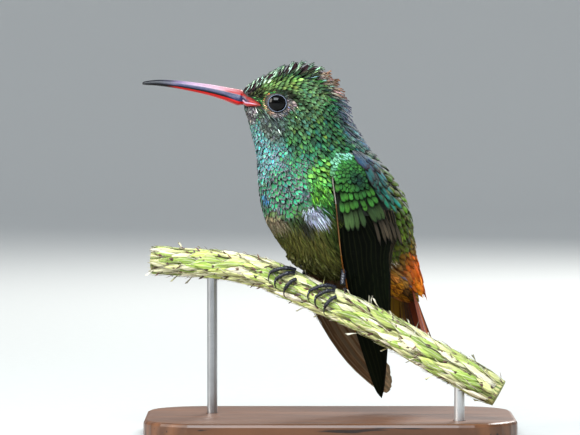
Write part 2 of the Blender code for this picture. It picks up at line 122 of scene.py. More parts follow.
def linear(red: int, green: int, blue: int) -> Triple:
    """A display colour of 0 to 255 as scene light.

    Args:
        red: the red part.
        green: the green part.
        blue: the blue part.

    Returns:
        The same colour as shaders take it.
    """
    parts = np.array([red, green, blue]) / 255.0
    low, high = parts / 12.92, ((parts + 0.055) / 1.055) ** 2.4
    return tuple(float(each) for each in np.where(parts <= 0.04045, low, high))


def palette(colours: tuple[Colour, ...]) -> Array:
    """Display colours as rows of scene light."""
    return np.array([linear(*each) for each in colours])


def ripples(along: Array, across: Array, seed: int, count: int = 5) -> Array:
    """Soft irregular waves from -1 to 1: the mean of a few sine waves in seeded directions.

    Args:
        along: first coordinate, scaled so that 1 is about one blotch.
        across: second coordinate, scaled in the same way.
        seed: which pattern.
        count: how many waves are averaged.

    Returns:
        The waves, in the coordinates' shape.
    """
    draw = np.random.default_rng(seed)
    total = np.zeros(np.broadcast(along, across).shape)
    for _ in range(count):
        way, speed, start = draw.uniform(0, 2 * pi), draw.uniform(0.6, 1.7), draw.uniform(0, 2 * pi)
        total += np.sin(2 * pi * speed * (along * cos(way) + across * sin(way)) + start)
    return total / count * 1.6


# ------------------------------------------------------------------ sheets
class Sheet:
    """A smooth surface of two parameters, with its faces and feathers on the outer side."""

    step = (0.02, 0.01)        # the parameters' steps for measuring slopes
    turn = 1.0                 # 1 where across x along points outwards, else -1

    def point(self, along: Array, across: Array) -> Array:
        """Points of the surface in millimetres."""
        raise NotImplementedError

    def unwrap(self, along: Array, across: Array) -> Array:
        """Where a point lies on the sheet's own flat unwrap, each part from 0 to 1."""
        raise NotImplementedError

    def slopes(self, along: Array, across: Array) -> tuple[Array, Array, Array]:
        """How the surface moves with each parameter, and its outward direction.

        Args:
            along: first parameter.
            across: second parameter.

        Returns:
            The slope along, the slope across and the unit normal.
        """
        da, db = self.step
        first = (self.point(along + da, across) - self.point(along - da, across)) / (2 * da)
        second = (self.point(along, across + db) - self.point(along, across - db)) / (2 * db)
        return first, second, self.turn * unit(np.cross(second, first))


@dataclass(frozen=True)
class Rung:
    """One slice of the body, from its back to its breast."""

    place: str
    back: Pair
    breast: Pair
    half_width: float
    heading: float


RUNGS = (
    Rung("bill root", (-20.3, 80.4), (-20.3, 76.5), 2.0, 5),
    Rung("lores", (-16.8, 82.8), (-19.4, 74.4), 4.3, 5),
    Rung("eye", (-13.4, 85.0), (-18.7, 71.9), 5.9, 5),
    Rung("crown", (-7.0, 86.7), (-17.8, 68.5), 7.3, 6),
    Rung("hind crown", (-0.4, 84.0), (-17.1, 65.0), 8.0, 10),
    Rung("nape", (3.5, 79.1), (-16.9, 61.5), 8.6, 15),
    Rung("neck", (5.6, 73.1), (-16.7, 58.0), 9.5, 20),
    Rung("shoulder", (9.6, 67.1), (-16.4, 54.5), 10.8, 25),
    Rung("mantle", (14.2, 62.0), (-15.6, 50.3), 11.8, 27),
    Rung("back", (17.8, 56.9), (-13.6, 46.2), 12.2, 28),
    Rung("belly", (19.9, 51.7), (-10.8, 42.4), 11.8, 28),
    Rung("flank", (20.6, 46.4), (-7.0, 39.2), 10.6, 28),
    Rung("vent", (20.9, 42.0), (-0.6, 36.4), 8.8, 28),
    Rung("rump", (21.3, 38.2), (7.2, 34.2), 6.6, 28),
    Rung("covert tips", (22.3, 33.2), (15.2, 31.0), 3.4, 28),
)
VENT_RUNG, VENT_DEPTH = 12, 5.6
CROWN_TAPER = 0.14
FOREHEAD, FOREHEAD_RUNG, FOREHEAD_REACH = 0.14, 1.9, 0.8      # how much it is flattened, and where
TRUNK_HEADING, TRUNK_RUNG = 28.0, 9
COAT_RUNGS = (0.0, 1.0, 2.0, 3.0, 4.0, 6.0, 8.0, 12.0, 13.0, 14.0)
COAT_DEPTHS = (0.3, 0.5, 0.6, 0.75, 0.95, 1.15, 1.4, 1.4, 1.1, 0.6)
CREST_DEPTH = 1.05
NECK_CREASES = ((4.75, 0.10), (5.4, 0.14), (6.0, 0.2), (6.5, 0.26))      # rung and depth


class Body(Sheet):
    """The bird's whole outline: an oval round each rung, from the bill's root to the tail coverts.

    At angle 0 a point is on the back and at pi on the breast; angles up to pi run down the left
    side. A point is the rung's middle, plus the half rung times the angle's cosine, plus the half
    width times its sine to the left. The middle moves sideways by the tangent of the heading for
    each step forward.
    """

    def __init__(self) -> None:
        """Work out the rungs' curves once, at many stops."""
        self.last = len(RUNGS) - 1.0
        dense = np.linspace(0, self.last, 1401)
        back, breast = (spline([getattr(r, side) for r in RUNGS], dense) for side in ("back", "breast"))
        width, heading = spline([(r.half_width, r.heading) for r in RUNGS], dense).T
        heading = np.radians(heading)
        half, middle = (back - breast) / 2, (back + breast) / 2
        slope = np.tan(heading)
        depth = np.concatenate([[0.0], np.cumsum((slope[1:] + slope[:-1]) / 2 * np.diff(middle[:, 0]))])
        depth += VENT_DEPTH - np.interp(VENT_RUNG, dense, depth)
        self.tracks = np.stack([middle[:, 0], depth, middle[:, 1],
                                half[:, 0] * np.cos(heading), half[:, 0] * np.sin(heading), half[:, 1],
                                np.sin(heading) * width, -np.cos(heading) * width], -1)
        self.left = np.array([sin(radians(TRUNK_HEADING)), -cos(radians(TRUNK_HEADING)), 0.0])
        self.middle = self.read(np.array([float(TRUNK_RUNG)]))[0, :3]

    def mirror(self, points: Array) -> Array:
        """Points mirrored through the trunk's middle plane."""
        return points - 2 * ((points - self.middle) @ self.left)[..., None] * self.left

    def read(self, along: Array) -> Array:
        """The rungs' tracks at any stop, drawn on in a straight line past either end.

        Args:
            along: rungs from the bill.

        Returns:
            The tracks, with one more axis for their columns.
        """
        inside = np.clip(along, 0.0, self.last)
        found, _ = between(self.tracks, inside / self.last * (len(self.tracks) - 1))
        ends = np.where((along > self.last)[..., None], self.tracks[-1] - self.tracks[-41],
                        self.tracks[40] - self.tracks[0]) * 2.5
        return found + ends * (along - inside)[..., None]

    def fold(self, along: Array, across: Array) -> Array:
        """Depth of the creases where the neck turns: narrow valleys that fade to breast and nape.

        Args:
            along: rungs from the bill.
            across: angles from the back, in radians.

        Returns:
            Depths in millimetres.
        """
        side = np.abs((across / pi) % 2.0 - 1.0)           # 1 on the back, 0 on the breast
        fade = smooth(0.2, 0.42, side) * (1 - smooth(0.72, 0.95, side))
        return sum(deep * np.exp(-((along - rung) / 0.13) ** 2) for rung, deep in NECK_CREASES) * fade

    def point(self, along: Array, across: Array) -> Array:
        """Points on the plumage's outline.

        Args:
            along: rungs from the bill.
            across: angles from the back, in radians.

        Returns:
            Points in millimetres.
        """
        along, across = np.broadcast_arrays(np.asarray(along, float), np.asarray(across, float))
        tracks, over = self.read(along), np.cos(across)
        flat = FOREHEAD * np.exp(-((along - FOREHEAD_RUNG) / FOREHEAD_REACH) ** 2) * smooth(0.5, 0.95, over)
        turn = (over * (1 - flat))[..., None]
        side = (np.sin(across) * (1 - CROWN_TAPER * over))[..., None]
        sideways = np.concatenate([tracks[..., 6:8], np.zeros_like(turn)], -1)
        return tracks[..., :3] + tracks[..., 3:6] * turn + sideways * side

    def unwrap(self, along: Array, across: Array) -> Array:
        """Round the body across the map, and from bill to tail up it."""
        round_share = (across / (2 * pi)) % 1.0
        return np.stack([0.01 + 0.98 * round_share, 0.02 + 0.96 * along / (self.last + 0.6)], -1)

    def coat_depth(self, along: Array, across: Array) -> Array:
        """How far the skin lies under the feather tips: thin on the face, deep on the belly.

        Args:
            along: rungs from the bill.
            across: angles from the back, in radians.

        Returns:
            Depths in millimetres.
        """
        crest = smooth(0.6, 3.2, along) * (1 - smooth(5.0, 6.4, along))
        crest = crest * (1 - smooth(46, 70, np.degrees(folded(across))))
        return np.interp(along, COAT_RUNGS, COAT_DEPTHS) + CREST_DEPTH * crest


class Side(Enum):
    """The bird's two sides."""

    LEFT = "left"
    RIGHT = "right"

    @property
    def way(self) -> float:
        """1 on the left and -1 on the right."""
        return 1.0 if self is Side.LEFT else -1.0


# Chords of the wing, from the shoulder to the tip: leading edge, rear edge and bulge.
WING = (
    ((3.4, -9.3, 66.0), (6.8, -6.5, 65.6), 0.3),
    ((1.0, -11.2, 64.0), (9.4, -6.0, 62.6), 1.2),
    ((0.5, -12.2, 60.0), (11.8, -6.2, 58.0), 1.6),
    ((1.2, -12.4, 54.6), (13.6, -6.0, 53.2), 1.6),
    ((1.8, -11.6, 48.6), (14.8, -5.4, 48.4), 1.4),
    ((2.6, -8.4, 41.5), (15.0, -4.0, 43.2), 1.2),
    ((4.0, -4.4, 34.6), (13.9, -3.0, 37.2), 0.9),
    ((5.2, -2.4, 26.6), (13.9, -1.6, 29.0), 0.6),
    ((7.6, -1.0, 18.6), (13.4, -0.4, 20.2), 0.5),
    ((10.1, 0.2, 11.2), (12.9, 0.5, 12.2), 0.3),
    ((11.8, 0.9, 8.2), (12.4, 1.0, 8.4), 0.0),
)
FAR_WING_END = (
    ((-5.9, 8.4, 36.0), (6.6, 15.4, 37.6), 0.9),
    ((-4.1, 8.4, 29.2), (9.2, 14.0, 30.8), 0.7),
    ((0.2, 8.4, 21.4), (11.8, 12.2, 23.4), 0.6),
    ((4.7, 8.6, 15.4), (13.6, 10.8, 16.8), 0.4),
    ((9.4, 8.8, 11.0), (14.8, 10.0, 11.6), 0.2),
    ((12.4, 9.0, 8.8), (14.3, 9.4, 9.0), 0.0),
)
MIRRORED_CHORDS = 6


class WingSheet(Sheet):
    """One shut wing: straight chords bulged outwards by a parabola, in order from shoulder to tip."""

    def __init__(self, body: Body, side: Side) -> None:
        """Read the chords, mirrored through the trunk's middle plane for the right wing.

        Args:
            body: the bird's body.
            side: which wing.
        """
        leading, rear, bulge = (np.array(column) for column in zip(*WING))
        if side is Side.RIGHT:
            chords = (body.mirror(leading), body.mirror(rear), bulge)
            leading, rear, bulge = (np.concatenate([near[:MIRRORED_CHORDS], np.array(end)])
                                    for near, end in zip(chords, zip(*FAR_WING_END)))
        self.last = len(bulge) - 1.0
        self.dense = np.linspace(0, self.last, 601)
        first, last = spline(leading, self.dense), spline(rear, self.dense)
        run = unit(np.gradient((first + last) / 2, axis=0))
        outward = unit(np.cross(run, last - first))
        outward *= np.sign(outward @ body.left)[:, None] * side.way
        self.turn = -side.way
        self.tracks = np.concatenate([first, last - first, outward * 4 * spline(bulge, self.dense)], -1)

    def read(self, along: Array) -> Array:
        """The chords' tracks at any stop, drawn on in a straight line past either end.

        Args:
            along: stops from the shoulder.

        Returns:
            The tracks, with one more axis for their columns.
        """
        inside = np.clip(along, 0.0, self.last)
        steps = len(self.dense) - 1
        found, step = between(self.tracks, inside / self.last * steps)
        return found + step * (steps / self.last) * (along - inside)[..., None]

    def point(self, along: Array, across: Array) -> Array:
        """Points on the wing's middle sheet; across runs from the leading edge to the rear one.

        Args:
            along: stops from the shoulder.
            across: shares of the chord.

        Returns:
            Points in millimetres.
        """
        along, across = np.broadcast_arrays(np.asarray(along, float), np.asarray(across, float))
        tracks, share = self.read(along), across[..., None]
        return tracks[..., :3] + tracks[..., 3:6] * share + tracks[..., 6:9] * share * (1 - share)

    def unwrap(self, along: Array, across: Array) -> Array:
        """The chord across the map and the wing's length up it."""
        return np.stack([0.1 + 0.8 * np.clip(across, -0.1, 1.1), 0.03 + 0.94 * along / (self.last + 0.5)], -1)


TAIL = ((18.4, 38.4, 3.0), (19.9, 33.6, 5.4), (21.8, 28.2, 7.2), (23.7, 23.2, 7.8),
        (25.2, 19.2, 6.8))     # x and z of the ridge, and the width of a side
TAIL_DROOP, TAIL_FORK, TAIL_WIDEST = 42.0, 2.2, 7.8


class TailSheet(Sheet):
    """One side of the shut tail: straight lines that fall from the ridge at one slope.

    A point is the ridge at its stop, plus its share of the width down the slope, plus a little
    more length for feathers further from the ridge. The ridge starts a stop before its first.
    """

    def __init__(self, body: Body, side: Side) -> None:
        """Read the ridge and set out the slope.

        Args:
            body: the bird's body.
            side: which side.
        """
        self.last = len(TAIL) - 1.0
        self.dense = np.linspace(-1.0, self.last, 401)
        inside = np.maximum(self.dense, 0.0)
        x, z, width = spline(TAIL, inside).T
        vent = body.point(np.full(2, float(VENT_RUNG)), np.array([0.0, pi])).mean(axis=0)
        path = np.stack([x, vent[1] + (x - vent[0]) * tan(radians(TRUNK_HEADING)), z], -1)
        start = (path[101] - path[100]) * 100
        path += np.minimum(self.dense, 0.0)[:, None] * start
        run = unit(np.gradient(path, axis=0))
        droop = radians(TAIL_DROOP)
        self.turn = -side.way
        slope = side.way * body.left * cos(droop) + np.cross(run, body.left) * sin(droop)
        fork = run * (TAIL_FORK * width / TAIL_WIDEST * inside / self.last)[:, None]
        self.tracks = np.concatenate([path, slope * width[:, None], fork], -1)

    def point(self, along: Array, across: Array) -> Array:
        """Points on the tail; across runs from the ridge to the outer edge.

        Args:
            along: stops from the first, which is 0.
            across: shares of the width.

        Returns:
            Points in millimetres.
        """
        along, across = np.broadcast_arrays(np.asarray(along, float), np.asarray(across, float))
        inside = np.clip(along, -1.0, self.last)
        steps = len(self.dense) - 1
        tracks, step = between(self.tracks, (inside + 1.0) / (self.last + 1.0) * steps)
        tracks = tracks + step * (steps / (self.last + 1.0)) * (along - inside)[..., None]
        return tracks[..., :3] + (tracks[..., 3:6] + tracks[..., 6:9]) * across[..., None]

    def unwrap(self, along: Array, across: Array) -> Array:
        """Ridge to edge across the map and the tail's length up it."""
        return np.stack([0.1 + 0.8 * np.clip(across, -0.1, 1.1), 0.03 + 0.94 * (along + 1) / 6.0], -1)


STEM = ((-41.5, 8.4, 40.2), (-30.0, 5.9, 39.6), (-21.0, 3.7, 38.6), (-14.0, 1.2, 36.9),
        (-9.3, -1.1, 34.9), (-4.6, -3.4, 32.9), (0.0, -5.8, 31.0), (7.0, -9.2, 28.0),
        (16.3, -13.0, 23.3), (25.6, -15.4, 18.0), (38.5, -17.4, 10.8))
STEM_START, STEM_END = STEM[0][0], STEM[-1][0]
STEM_RADIUS = (2.9, 3.45)


class StemSheet(Sheet):
    """The stem: circles square to its curved middle line, with x as the parameter along it.

    At angle 0 a point is on top, and angles grow towards -Y.
    """

    step = (0.1, 0.02)

    def __init__(self) -> None:
        """Read the middle line at many stops, and draw it on straight past its ends."""
        line = spline(STEM, np.linspace(0, len(STEM) - 1, 801))
        self.x = np.linspace(STEM_START - 2.0, STEM_END + 2.0, 801)
        inside = np.clip(self.x, STEM_START, STEM_END)
        starts, ends = line[8] - line[0], line[-1] - line[-9]
        slope = np.where((self.x < 0)[:, None], starts / starts[0], ends / ends[0])
        path = np.stack([inside, np.interp(inside, line[:, 0], line[:, 1]),
                         np.interp(inside, line[:, 0], line[:, 2])], -1) + slope * (self.x - inside)[:, None]
        run = unit(np.gradient(path, axis=0))
        top = unit(UP - run * run[:, 2:])
        side = np.cross(top, run)
        side *= -np.sign(side[:, 1:2])
        self.tracks = np.concatenate([path, top, side], -1)

    def line(self, x: Array) -> Array:
        """The middle line, the top direction and the side direction at each x."""
        place = (np.asarray(x, float) - self.x[0]) / (self.x[1] - self.x[0])
        return between(self.tracks, np.clip(place, 0, len(self.x) - 1))[0]

    def radius(self, x: Array) -> Array:
        """The stem's radius at each x."""
        return np.interp(x, (STEM_START, STEM_END), STEM_RADIUS)

    def point(self, along: Array, across: Array, stand_off: float | Array = 0.0) -> Array:
        """Points round the stem, or a stand-off outside it.

        Args:
            along: x in millimetres.
            across: angles from the top.
            stand_off: distance outside the stem.

        Returns:
            Points in millimetres.
        """
        along, across = np.broadcast_arrays(np.asarray(along, float), np.asarray(across, float))
        tracks = self.line(along)
        turn = tracks[..., 3:6] * np.cos(across)[..., None] + tracks[..., 6:9] * np.sin(across)[..., None]
        return tracks[..., :3] + turn * (self.radius(along) + stand_off)[..., None]

    def clear(self, points: Array, gap: float) -> Array:
        """Points moved straight out of the stem where they lie in it or closer to it than a gap.

        Args:
            points: any points, in an array that ends in xyz.
            gap: how far they are kept from the stem, in millimetres.

        Returns:
            The points, of which only those near the stem have moved.
        """
        x = points[..., 0]
        for _ in range(3):
            run = self.line(x + 0.5)[..., :3] - self.line(x - 0.5)[..., :3]
            x = x + (dot(points - self.line(x)[..., :3], run) / dot(run, run))[..., 0]
        line = self.line(x)[..., :3]
        far, wanted = np.linalg.norm(points - line, axis=-1), self.radius(x) + gap
        near = (far < wanted) & (x > STEM_START) & (x < STEM_END)
        moved = (points - line) * (wanted / np.maximum(far, 0.05))[..., None] + line
        return np.where(near[..., None], moved, points)

    def unwrap(self, along: Array, across: Array) -> Array:
        """Round the stem across the map and its length up it."""
        length = (along - STEM_START) / (STEM_END - STEM_START)
        return np.stack([0.02 + 0.96 * ((across / (2 * pi)) % 1.0), 0.03 + 0.94 * length], -1)


# ------------------------------------------------------------------ meshes
@dataclass(frozen=True)
class Ring:
    """The cross-section of a feather: places across it, from -1 to 1, and height from -1 to 1."""

    across: tuple[float, ...]
    height: tuple[float, ...]
    start_cap: tuple[tuple[int, ...], ...]
    end_cap: tuple[tuple[int, ...], ...]
    top: int                   # how many of the places are on the upper side


SMALL = Ring((-1, -0.5, 0, 0.5, 1, 0), (0, 0.8, 1, 0.8, 0, -0.7),
             ((0, 5, 2, 1), (5, 4, 3, 2)), ((0, 1, 2, 5), (2, 3, 4, 5)), 5)
BROAD = Ring((-1, -0.6, -0.2, 0.2, 0.6, 1, 0.4, -0.4), (0, 0.7, 1, 1, 0.7, 0, -0.8, -0.8),
             ((0, 7, 2, 1), (7, 6, 3, 2), (6, 5, 4, 3)), ((0, 1, 2, 7), (2, 3, 6, 7), (3, 4, 5, 6)), 6)
BACKWARDS = Ring(SMALL.across[::-1], SMALL.height[::-1], SMALL.start_cap, SMALL.end_cap, SMALL.top)


def mesh_object(name: str, points: Array, quads: Array, finish: Material, slot: str,
                uv: Array | None = None) -> bpy.types.Object:
    """A smooth mesh object at the origin, riding on the bird.

    Args:
        name: the piece's name.
        points: its points in millimetres, one row each.
        quads: four point numbers for each face, counter-clockwise from outside.
        finish: its material.
        slot: the name of a material slot; not used.
        uv: a place on the piece's own map for each point.

    Returns:
        The object, linked to the scene.
    """
    mesh = bpy.data.meshes.new(name)
    mesh.vertices.add(len(points))
    mesh.vertices.foreach_set("co", (points * MM).astype(np.float32).ravel())
    mesh.loops.add(quads.size)
    mesh.loops.foreach_set("vertex_index", quads.astype(np.int32).ravel())
    mesh.polygons.add(len(quads))
    mesh.polygons.foreach_set("loop_start", np.arange(0, quads.size, 4, dtype=np.int32))
    mesh.update(calc_edges=True)
    mesh.shade_smooth()
    if uv is not None:
        set_map(mesh, "UVMap", uv.reshape(-1, 2)[quads.ravel()])
    made = bpy.data.objects.new(name, mesh)
    bpy.context.scene.collection.objects.link(made)
    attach(made, BODY_NAME)
    mesh.materials.append(finish)
    return made


def set_map(mesh: bpy.types.Mesh, name: str, corners: Array) -> None:
    """Add a UV map with a place for each face corner."""
    mesh.uv_layers.new(name=name).data.foreach_set("uv", corners.astype(np.float32).ravel())


def set_colour(mesh: bpy.types.Mesh, name: str, colours: Array) -> None:
    """Add a colour attribute with a row of three parts for each point.

    Args:
        mesh: the mesh.
        name: the attribute's name.
        colours: three parts for each point.
    """
    layer = mesh.color_attributes.new(name=name, type="FLOAT_COLOR", domain="POINT")
    full = np.concatenate([colours, np.ones((len(colours), 1))], 1)
    layer.data.foreach_set("color", full.astype(np.float32).ravel())


def grid_quads(rows: int, columns: int, closed: bool) -> Array:
    """Faces of a grid of points, row by row; a closed grid joins its last column to its first.

    Args:
        rows: points down the grid.
        columns: points across it.
        closed: whether it closes on itself.

    Returns:
        Four point numbers for each face.
    """
    row, column = np.meshgrid(np.arange(rows - 1), np.arange(columns - (not closed)), indexing="ij")
    after = (column + 1) % columns
    return np.stack([row * columns + column, row * columns + after,
                     (row + 1) * columns + after, (row + 1) * columns + column], -1).reshape(-1, 4)


def closed_grid(rows: int, sides: int) -> Array:
    """Faces of a grid of rings with both ends closed, by quads that share a ring's first point.

    Args:
        rows: how many rings.
        sides: points in each ring, an even number.

    Returns:
        Four point numbers for each face.
    """
    ring = np.arange(0, sides - 2, 2)
    cap = np.stack([ring * 0, ring + 1, ring + 2, ring + 3], -1)
    return np.concatenate([grid_quads(rows, sides, True), cap[:, ::-1], cap + (rows - 1) * sides])


def outward(points: Array, quads: Array) -> Array:
    """The faces, all turned round where they enclose less than nothing.

    Args:
        points: points round an origin inside the shape.
        quads: its faces.

    Returns:
        The faces.
    """
    a, b, c, d = (points.reshape(-1, 3)[quads[:, corner]] for corner in range(4))
    volume = (np.cross(b - a, c - a) * a + np.cross(c - a, d - a) * a).sum()
    return quads if volume >= 0 else quads[:, ::-1]


def twice(rows: Array) -> Array:
    """Rows with the first and the last one doubled."""
    return np.concatenate([rows[:1], rows, rows[-1:]])


def pinched(rings: Array) -> Array:
    """Rings with one more at each end, drawn in close to its middle."""
    near, far = (ring.mean(axis=1, keepdims=True) * 0.98 + ring * 0.02 for ring in (rings[:1], rings[-1:]))
    return np.concatenate([near, rings, far])


def joined(parts: list[tuple[Array, ...]]) -> tuple[Array, ...]:
    """Several sets of points, faces and values for each point, as one set.

    Args:
        parts: points, faces and any values for each point, for each part.

    Returns:
        The same things for the whole.
    """
    starts = np.cumsum([0] + [len(part[0]) for part in parts[:-1]])
    moved = [(part[0], part[1] + start, *part[2:]) for part, start in zip(parts, starts)]
    return tuple(np.concatenate(column) for column in zip(*moved))


def tube(path: Array, radii: Array, sides: int, flat: float = 1.0) -> tuple[Array, Array]:
    """A closed round tube along a path: rings square to it, each end drawn in to a point.

    Args:
        path: points of the middle line.
        radii: the radius at each.
        sides: points in a ring.
        flat: height of a ring as a share of its width.

    Returns:
        The points and the faces.
    """
    along = unit(np.gradient(path, axis=0))
    first = unit(np.cross(along, np.eye(3)[np.abs(along).max(axis=0).argmin()]))
    second = twice(np.cross(along, first))
    radii = np.concatenate([[radii[0] * 0.05], radii, [radii[-1] * 0.05]])
    angle = np.linspace(0, 2 * pi, sides, endpoint=False)[None, :, None]
    spread = twice(first)[:, None] * np.cos(angle) + second[:, None] * np.sin(angle) * flat
    points = (twice(path)[:, None] + spread * radii[:, None, None]).reshape(-1, 3)
    return points, closed_grid(len(radii), sides)


@dataclass
class Vanes:
    """Many feathers of one kind, as closed lens-shaped lofts: arrays of (feather, row, ring, xyz)."""

    points: Array
    ring: Ring
    places: Array              # (feather, 2) on the sheet's unwrap
    tint: Array                # (feather, 3)
    fringe: Array              # (feather, 3)
    trait: Array               # (feather, 3): width of the fringe, a random share, gloss
    stations: Array            # (row,) share of the length at each row

    def build(self, name: str, finish: Material, slot: str) -> bpy.types.Object:
        """Join the feathers into one piece with its maps and colours.

        The vane map holds the place across and along each feather. The OFBake map holds the same
        patch, shrunk to its root's place on the sheet's unwrap.

        Args:
            name: the piece's name.
            finish: its material.
            slot: the name of a material slot.

        Returns:
            The piece.
        """
        count, rows, sides = self.points.shape[:3]
        each = rows * sides
        caps = np.concatenate([np.array(self.ring.start_cap), np.array(self.ring.end_cap) + each - sides])
        first = self.points[0] - self.points[0].reshape(-1, 3).mean(axis=0)
        one = outward(first, np.concatenate([grid_quads(rows, sides, True), caps]))
        quads = (one[None] + (np.arange(count) * each)[:, None, None]).reshape(-1, 4)
        piece = mesh_object(name, self.points.reshape(-1, 3), quads, finish, slot)
        mesh = piece.data
        across = (np.array(self.ring.across) + 1) / 2
        below = (np.array(self.ring.height) < 0) * 0.06
        vane = np.stack(np.broadcast_arrays(across, self.stations[:, None] * 0.94 + 0.06 - below), -1)
        corners = vane.reshape(-1, 2)[one.ravel()]
        set_map(mesh, "vane", np.tile(corners, (count, 1)))
        set_map(mesh, "OFBake", self.places[:, None] + (corners[None] - 0.5) * PATCH)
        for label in ("tint", "fringe", "trait"):
            set_colour(mesh, label, np.repeat(getattr(self, label), each, 0))
        flat = np.ones(len(one), bool)
        faces = len(one) - len(caps)
        flat[:faces] = np.arange(faces) % sides >= self.ring.top - 1
        sharp = mesh.attributes.new("sharp_face", "BOOLEAN", "FACE")
        sharp.data.foreach_set("value", np.tile(flat, count))
        return piece


def trait_rows(edge: float | Array, gloss: float | Array, count: int, draw: np.random.Generator) -> Array:
    """The width of the fringe, a random share and the gloss of each feather."""
    ones = np.ones(count)
    return np.stack([edge * ones, draw.uniform(0, 1, count), gloss * ones], -1)


def varied(colours: tuple[Colour, Colour], spans: tuple[Pair, Pair], count: int,
           draw: np.random.Generator) -> tuple[Array, Array]:
    """A tint and a fringe for each feather, each at its own brightness in its span."""
    tint, fringe = (hue * draw.uniform(*span, (count, 1)) for hue, span in zip(palette(colours), spans))
    return tint, fringe


class Outline(Enum):
    """Half the width of a feather at each of its rows, and the rows' places along it."""

    SCALE = ((0.35, 0.75, 1.0, 0.92, 0.5), (0.0, 0.3, 0.62, 0.86, 1.0))
    LEAF = ((0.3, 0.8, 1.0, 0.72, 0.22), (0.0, 0.3, 0.6, 0.85, 1.0))
    LANCE = ((0.5, 0.9, 0.85, 0.5, 0.1), (0.0, 0.25, 0.55, 0.8, 1.0))
    OBLONG = ((0.4, 0.85, 1.0, 1.0, 0.58), (0.0, 0.3, 0.62, 0.92, 1.0))
    HAIR = ((0.6, 1.0, 0.8, 0.45, 0.08), (0.0, 0.2, 0.5, 0.78, 1.0))

    @property
    def rows(self) -> Array:
        """The rows' places along the feather."""
        return np.array(self.value[1])


@dataclass
class Laid:
    """Where and how feathers are laid on a sheet; every array has one value for each feather."""

    along: Array
    across: Array
    length: Array
    half_width: Array
    sink: Array                # depth of the root under the sheet
    rise: Array                # height of the tip over the sheet
    lift: Array                # how far the last part of the vane stands off
    yaw: Array                 # turn from the way of the sheet, in radians
    roll: Array                # tilt to one side, as a slope
    ease: Array                # 1 where the vane lies down towards its tip, 0 where it stays straight

    def keep(self, chosen: Array) -> "Laid":
        """The chosen feathers alone."""
        return Laid(*(getattr(self, name)[chosen] for name in self.__dataclass_fields__))


def drape(sheet: Sheet, laid: Laid, outline: Outline, ring: Ring, thick: float, camber: float,
          ragged: float, draw: np.random.Generator) -> Array:
    """Lay closed feathers along a sheet so that they follow its curves.

    Each row and ring place is a step along and across the feather. The step is turned by the
    feather's yaw, changed into the sheet's two parameters through the slopes at the root, and read
    from the sheet. Its height is the root's depth, rising to the tip's along an easing curve, with
    the camber and the thickness added.

    Args:
        sheet: the surface that the feathers lie on.
        laid: the feathers.
        outline: the shape of the vane.
        ring: the cross-section.
        thick: half the thickness.
        camber: how much the middle stands over the edges, as a share of the half width.
        ragged: how unevenly the tip's barbs end, as a share of the length.
        draw: the source of random numbers.

    Returns:
        Points as (feather, row, ring, xyz).
    """
    widths, rows = (np.array(each) for each in outline.value)
    col = {name: getattr(laid, name)[:, None, None] for name in laid.__dataclass_fields__}
    first, second, normal = sheet.slopes(laid.along, laid.across)
    tail = unit(first)
    side = unit(np.cross(tail, normal))
    u, v, widths = np.array(ring.across), rows[:, None], widths[:, None]
    frayed = draw.normal(0, ragged, (len(laid.along), len(rows), len(ring.across))) * smooth(0.6, 1.0, v)
    x = v * col["length"] + (frayed - 0.12 * u ** 2 * smooth(0.4, 1.0, v)) * col["length"]
    y = u * col["half_width"] * widths
    turned = x * np.cos(col["yaw"]) - y * np.sin(col["yaw"])
    y = x * np.sin(col["yaw"]) + y * np.cos(col["yaw"])
    across_by_side = dot(second, side)[..., None]
    db = y / np.where(np.abs(across_by_side) < 1e-6, 1e-6, across_by_side)
    da = (turned - db * dot(second, tail)[..., None]) / np.linalg.norm(first, axis=-1)[:, None, None]
    along, across = col["along"] + da, col["across"] + db
    climb = v + col["ease"] * (v - v ** 2)
    height = -col["sink"] + (col["sink"] + col["rise"]) * climb + col["lift"] * v ** 3
    height = height + camber * col["half_width"] * (1 - u ** 2) * widths + col["roll"] * u * col["half_width"]
    height = height + thick * np.array(ring.height) * (1 - 0.6 * v)
    return sheet.point(along, across) + sheet.slopes(along, across)[2] * height[..., None]


